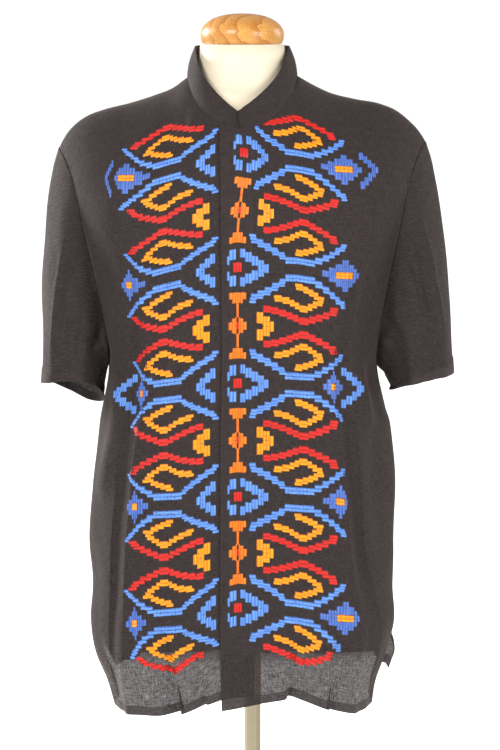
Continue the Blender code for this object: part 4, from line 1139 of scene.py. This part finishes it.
BLUE, DEEP_BLUE, RED, ORANGE, DEEP_ORANGE = "blue", "deep_blue", "red", "orange", "deep_orange"
# steps, colour, which fronts, how its threads run, and its middle (diamond or knot)
ACROSS, UPRIGHT = 0, 1
MOTIFS = [
    (ARCH, BLUE, "both", ACROSS, "diamond"), (HOOK, ORANGE, "both", ACROSS, "diamond"),
    (PEAK, RED, "both", ACROSS, "diamond"), (RING, BLUE, "top", UPRIGHT, "diamond"),
    (INNER_RING, BLUE, "inner", UPRIGHT, "diamond"), (SIDE_RING, BLUE, "under", UPRIGHT, "diamond"),
    (FLOWER, DEEP_BLUE, "both", UPRIGHT, "diamond"), (FLOWER_HEART, ORANGE, "both", ACROSS, "diamond"),
    (OUTER_RING, DEEP_BLUE, "both", UPRIGHT, "outer"), (BRACKET, ORANGE, "both", UPRIGHT, "knot"),
    (SQUARE, RED, "middle", UPRIGHT, "diamond"), (LINK, DEEP_ORANGE, "middle", UPRIGHT, "between"),
    (STEM, DEEP_ORANGE, "middle", UPRIGHT, "between"), (KNOT, DEEP_ORANGE, "middle", UPRIGHT, "knot"),
    (KNOT_HEART, RED, "middle", UPRIGHT, "knot")]


def line_height(x, row):
    """Height of the weft line at chart place x, where row 1.5 is halfway to the next diamond."""
    lines = np.array([np.interp(x, LINE_AT, line) for line in DIAMOND_LINES])
    k = np.clip(np.floor(row).astype(int), 0, len(lines) - 2)
    share = row - k
    j = np.arange(len(x))
    step = lines[k + 1, j] - lines[k, j]
    # above the first row the chest slopes back, below the last the rows keep their step
    step = np.where(row < 0, step * 0.90, step)
    return lines[k, j] + step * share


def front_map(top):
    """Even grid of points and normals over a front, by distance from the chain and height."""
    heights = np.arange(0.540, 1.2260, 0.0020)
    places = np.arange(-0.220, 0.2201, 0.0010)
    q = np.linspace(-1, UNDER_Q, 520) if not top else np.linspace(TOP_Q, 1, 540)
    hem = TOP if top else UNDER
    rows = []
    for z in heights:
        hem_z, top_z = along(q, HEM, hem), top_height(q, -1)
        v = np.where(z <= UNDERARM, (z - hem_z) / (UNDERARM - hem_z),
                     1 + (z - UNDERARM) / (top_z - UNDERARM))
        rows.append(body(q, np.clip(v, 0, 2), -1, hem))
    g = np.array(rows)
    if top:
        g = g + grid_normals(g) * top_lift(q)[None, :, None]
    even = np.empty((len(heights), len(places), 3))
    for i, line in enumerate(g):
        run = run_along(line)
        run -= np.interp(AXIS_X, line[:, 0], run)
        for c in range(3):
            even[i, :, c] = np.interp(places, run, line[:, c])
    return heights, places, even, unit(np.cross(np.gradient(even, axis=1), np.gradient(even, axis=0)))


def on_map(cloth, s, z):
    """Points and normals of a front at distances s from the chain and heights z."""
    heights, places, even, normals = cloth
    i = np.clip((z - heights[0]) / (heights[1] - heights[0]), 0, len(heights) - 1.001)
    j = np.clip((s - places[0]) / (places[1] - places[0]), 0, len(places) - 1.001)
    i0, j0 = i.astype(int), j.astype(int)
    a, b = (i - i0)[..., None], (j - j0)[..., None]
    return [(m[i0, j0] * (1 - a) + m[i0 + 1, j0] * a) * (1 - b)
            + (m[i0, j0 + 1] * (1 - a) + m[i0 + 1, j0 + 1] * a) * b for m in (even, normals)]


BUNDLE = 2.9              # width of a bundle of three strands, in chart units
FLOAT = 8.5               # longest float of a strand
MIDDLE_RISE, SIDE_RISE = 0.00060, 0.00038     # height of a bundle's middle and outer strands
# tone of the three strands of a bundle: painted shade on the first, a painted highlight on the raised
# middle one, a mid tone on the last
STRAND_HIGHLIGHT_AND_SHADE = (0.10, 0.80, 0.52)


def strands(x0, x1, y0, y1, way, lean, rng):
    """Single strands that fill one step: start x, y, end x, y, width, height and tone, which paints shade
    on each bundle's first strand and a highlight on its middle one.
    """
    if way == UPRIGHT:
        return [(b, a, d, c, *rest) for a, b, c, d, *rest in strands(y0, y1, x0, x1, ACROSS, 0, rng)]
    bundles = max(1, round((y1 - y0) / BUNDLE))
    pitch = (y1 - y0) / bundles / 3
    made = []
    left, right = x0, x1
    for i in range(3 * bundles):
        shift = lean * (i // 3 - (bundles - 1) / 2)
        x0, x1 = left + shift, right + shift
        y = y0 + (i + 0.5) * pitch + rng.normal(0, 0.05)
        parts = max(1, round((x1 - x0) / FLOAT))
        cuts = np.linspace(x0, x1, parts + 1)
        if parts > 1 and i % 2:
            cuts = np.concatenate([[x0], (cuts[:-1] + cuts[1:]) / 2, [x1]])
        for a, b in zip(cuts[:-1], cuts[1:]):
            a2, b2 = a - 0.12 + rng.normal(0, 0.13), b + 0.12 + rng.normal(0, 0.13)
            made.append((a2, y + rng.normal(0, 0.06), b2, y + rng.normal(0, 0.06), pitch * 1.22,
                         (MIDDLE_RISE if i % 3 == 1 else SIDE_RISE) * rng.uniform(0.88, 1.12),
                         STRAND_HIGHLIGHT_AND_SHADE[i % 3]))
    return made


def step_leans(steps, most):
    """How far each bundle in a step is set along the band from the one before it."""
    middle = np.array([((a + b) / 2, (c + d) / 2) for a, b, c, d in steps])
    if len(middle) < 3:
        return [0.0] * len(middle)
    dx, dy = np.gradient(middle[:, 0]), np.gradient(middle[:, 1])
    return [0.0 if abs(y) < 0.2 * abs(x) else most * math.copysign(1, x * y) for x, y in zip(dx, dy)]


# the real front is gathered at its sides, which draws the flowers and the outer rings together.
# Here they are set closer instead: tip, bar, bar and tip of each row's flower, by front
FLOWER_PARTS = (85.5, 98.8, 118.8, 132.5)
FLOWER_PLACES = {
    False: ((89.4, 106.6, 124.5, 128.5), (94.6, 109.5, 117.1, 122.8), (92.9, 99.8, 105.4, 112.4),
            (92.7, 104.3, 109.8, 117.9), (95.4, 104.9, 110.1, 116.3)),
    True: ((85.0, 99.9, 119.3, 129.4), (85.7, 100.5, 121.3, 128.6), (87.5, 96.0, 101.8, 111.2),
           (87.4, 101.1, 110.5, 114.2), (85.0, 103.3, 121.0, 127.6))}
RING_PARTS = (124.0, 155.0)
RING_PLACES = {
    False: {0: (131.0, 140.0), 2: (111.0, 148.0)},
    True: {0: (127.0, 148.3), 2: (109.5, 140.0)}}
ARCH_SIDE, ARCH_DRAWN = 92, 0.80      # past here the under front's arches are drawn in to this share
MOST_LEAN = {False: 2.3, True: 0.9}   # how far a bundle is set along its band, by front


def at_the_side(x, steps, top, row):
    """Place on the cloth of a part of a flower or an outer ring."""
    if steps is OUTER_RING:
        return float(np.interp(x, RING_PARTS, RING_PLACES[top][row]))
    return float(np.interp(x, FLOWER_PARTS, FLOWER_PLACES[top][row]))


def pattern(top):
    """All strands on one front, as rows of x, y, x, y, width, height, tone, by colour."""
    rng = np.random.default_rng(21 if top else 22)
    found = {}
    for steps, colour, where, way, middle in MOTIFS:
        if where == "under" and top or where in ("top", "middle", "inner") and not top:
            continue
        # the outer rings lie in the folded sides, but for those of the first and third rows
        rows = {"diamond": range(5), "knot": [r + 0.5 for r in range(4)], "between": range(5),
                "outer": (0, 2)}[middle]
        for row in rows:
            for down in (-1, 1):
                if middle == "between" and (row == 0 and down < 0 or row == 4 and down > 0):
                    continue
                leans = step_leans(steps, MOST_LEAN[top])
                shade = BLUE if steps is OUTER_RING and row == 2 else colour
                for (x0, x1, y0, y1), lean in zip(steps, leans):
                    # a step on the mirror line is worked once, right across it
                    if y0 == 0.0:
                        if down < 0:
                            continue
                        low, high = -y1, y1
                    else:
                        low, high = (y0, y1) if down > 0 else (-y1, -y0)
                    out = SHIFT_RIGHT_FRONT if where == "both" and not top else 0.0
                    if way == ACROSS and steps in (ARCH, HOOK, PEAK):
                        low, high = low - 0.45, high + 0.45
                    if steps is ARCH and not top and row > 0:
                        x0, x1 = (min(x, ARCH_SIDE + (x - ARCH_SIDE) * ARCH_DRAWN) for x in (x0, x1))
                    if steps in (FLOWER, FLOWER_HEART, OUTER_RING):
                        x0, x1 = (at_the_side(x, steps, top, row) - out for x in (x0, x1))
                    if where == "middle" and x0 == 0.0:
                        spans = [(-x1, x1)]
                    elif where == "middle":
                        spans = [(x0, x1), (-x1, -x0)]
                    elif where == "inner" or not top:
                        spans = [(-x1 - out, -x0 - out)]
                    else:
                        spans = [(x0, x1)]
                    for a, b in spans:
                        turned_by = lean * down * (-1 if a < 0 else 1)
                        for s in strands(a, b, low, high, way, turned_by, rng):
                            found.setdefault(shade, []).append((*s, row))
    return {colour: np.array(rows) for colour, rows in found.items()}


# each floss runs from its dark to its light colour by the strand's tone, so the two ends carry the bundles'
# painted shade and painted highlight
FLOSS = {
    BLUE: floss("blue_floss", (0.040, 0.120, 0.420), (0.160, 0.360, 0.860)),
    DEEP_BLUE: floss("deep_blue_floss", (0.030, 0.075, 0.290), (0.110, 0.220, 0.650)),
    RED: floss("red_floss", (0.360, 0.004, 0.003), (0.780, 0.016, 0.007)),
    ORANGE: floss("orange_floss", (0.720, 0.170, 0.001), (1.000, 0.390, 0.003)),
    DEEP_ORANGE: floss("deep_orange_floss", (0.560, 0.090, 0.001), (0.950, 0.250, 0.003))}


def chain_drift(row):
    """The chain runs a little askew near the top, where the front is pulled at the neck."""
    return 6.5 * (1 - ease((row - 0.05) / 0.72))


def embroider(name, top, rows, colour):
    """Lay strands on a front: rows of chart x, y, x, y, width, height, tone and diamond."""
    along_it, across_it, height, _ = STITCH
    xa, ya, xb, yb, width, rise, tone, row = rows.T[:, :, None]
    x = (xa + xb) / 2 + (xb - xa) * along_it
    y = (ya + yb) / 2 + (yb - ya) * along_it
    length = np.hypot(xb - xa, yb - ya)
    x = x - (yb - ya) / length * across_it * width
    y = y + (xb - xa) / length * across_it * width
    place = (row + y / ROW_STEP)
    if top:
        x = x + chain_drift(place) * (1 - ease((np.abs(x) - 10) / 22))
    z = line_height(x.ravel(), place.ravel()).reshape(x.shape)
    at, normal = on_map(FRONT_MAPS[top], x * CHART, z)
    points = at + normal * (rise * height)[..., None]
    rng = np.random.default_rng(len(rows))
    tones = np.clip(tone[:, 0] + rng.normal(0, 0.12, len(rows)), 0, 1)
    flat = np.stack([along_it * length * CHART + rng.random((len(rows), 1)), across_it * width * CHART], -1)
    return thread_piece(name, points, flat, tones, FLOSS[colour])


FRONT_MAPS = {top: front_map(top) for top in (False, True)}
for top in (False, True):
    side = "left" if top else "right"
    sewn_on = [embroider(f"{colour}_floss_{side}", top, rows, colour)
               for colour, rows in pattern(top).items()]

# The studio
# A plain pale floor, a white room, soft lights and the camera. Floor and room
# are plain white to the camera, and light the blouse less than that.
WHITE_SEEN, WHITE_CAST = 1.02, 0.36
CAMERA_PLACE = (-0.003, -2.60, 1.285)
LOOKS_DOWN = 8.6          # degrees

alone()
bpy.ops.mesh.primitive_plane_add(size=40)
floor = bpy.context.object
floor.name = "studio_floor"
pale, n, k, shader = new_material("pale_floor", 0.9, Emission_Color=(1, 1, 1, 1))
shader.inputs["Base Color"].default_value = (0.85, 0.85, 0.84, 1)
seen = n.new("ShaderNodeLightPath")
k.new(seen.outputs["Is Camera Ray"], shader.inputs["Emission Strength"])
floor.data.materials.append(pale)

bpy.context.scene.view_settings.view_transform = "Standard"
bpy.context.scene.view_settings.look = "None"

world = bpy.data.worlds.new("white_room")
bpy.context.scene.world = world
world.use_nodes = True
world.node_tree.nodes["Background"].inputs["Color"].default_value = (1.0, 1.0, 1.0, 1)
seen = world.node_tree.nodes.new("ShaderNodeLightPath")
spread(world.node_tree.nodes, world.node_tree.links, seen.outputs["Is Camera Ray"], WHITE_CAST,
       WHITE_SEEN, world.node_tree.nodes["Background"].inputs["Strength"])


def soft_light(name, place, aim, size, power):
    data = bpy.data.lights.new(name, "AREA")
    data.shape = "RECTANGLE"
    data.size, data.size_y = size
    data.energy = power
    lamp = bpy.data.objects.new(name, data)
    bpy.context.scene.collection.objects.link(lamp)
    lamp.location = place
    way = np.array(aim) - np.array(place)
    lamp.rotation_euler = (math.acos(-way[2] / np.linalg.norm(way)), 0,
                           math.atan2(way[1], way[0]) - math.pi / 2)


soft_light("key_light", (-1.6, -2.6, 2.6), (0, 0, 0.95), (1.3, 1.5), 95)
soft_light("fill_light", (2.0, -2.2, 1.6), (0, 0, 0.9), (1.2, 1.8), 55)
soft_light("back_light", (-2.7, 1.7, 1.9), (0, 0, 0.9), (0.9, 1.2), 150)
soft_light("side_light", (2.5, 1.3, 1.8), (0, 0, 0.9), (1.2, 1.6), 28)

camera = bpy.data.cameras.new("camera")
camera.sensor_fit = "VERTICAL"
camera.sensor_height = 36.0
camera.lens = 106.7
view = bpy.data.objects.new("camera", camera)
bpy.context.scene.collection.objects.link(view)
view.location = CAMERA_PLACE
view.rotation_euler = (math.radians(90 - LOOKS_DOWN), 0, 0)
bpy.context.scene.camera = view
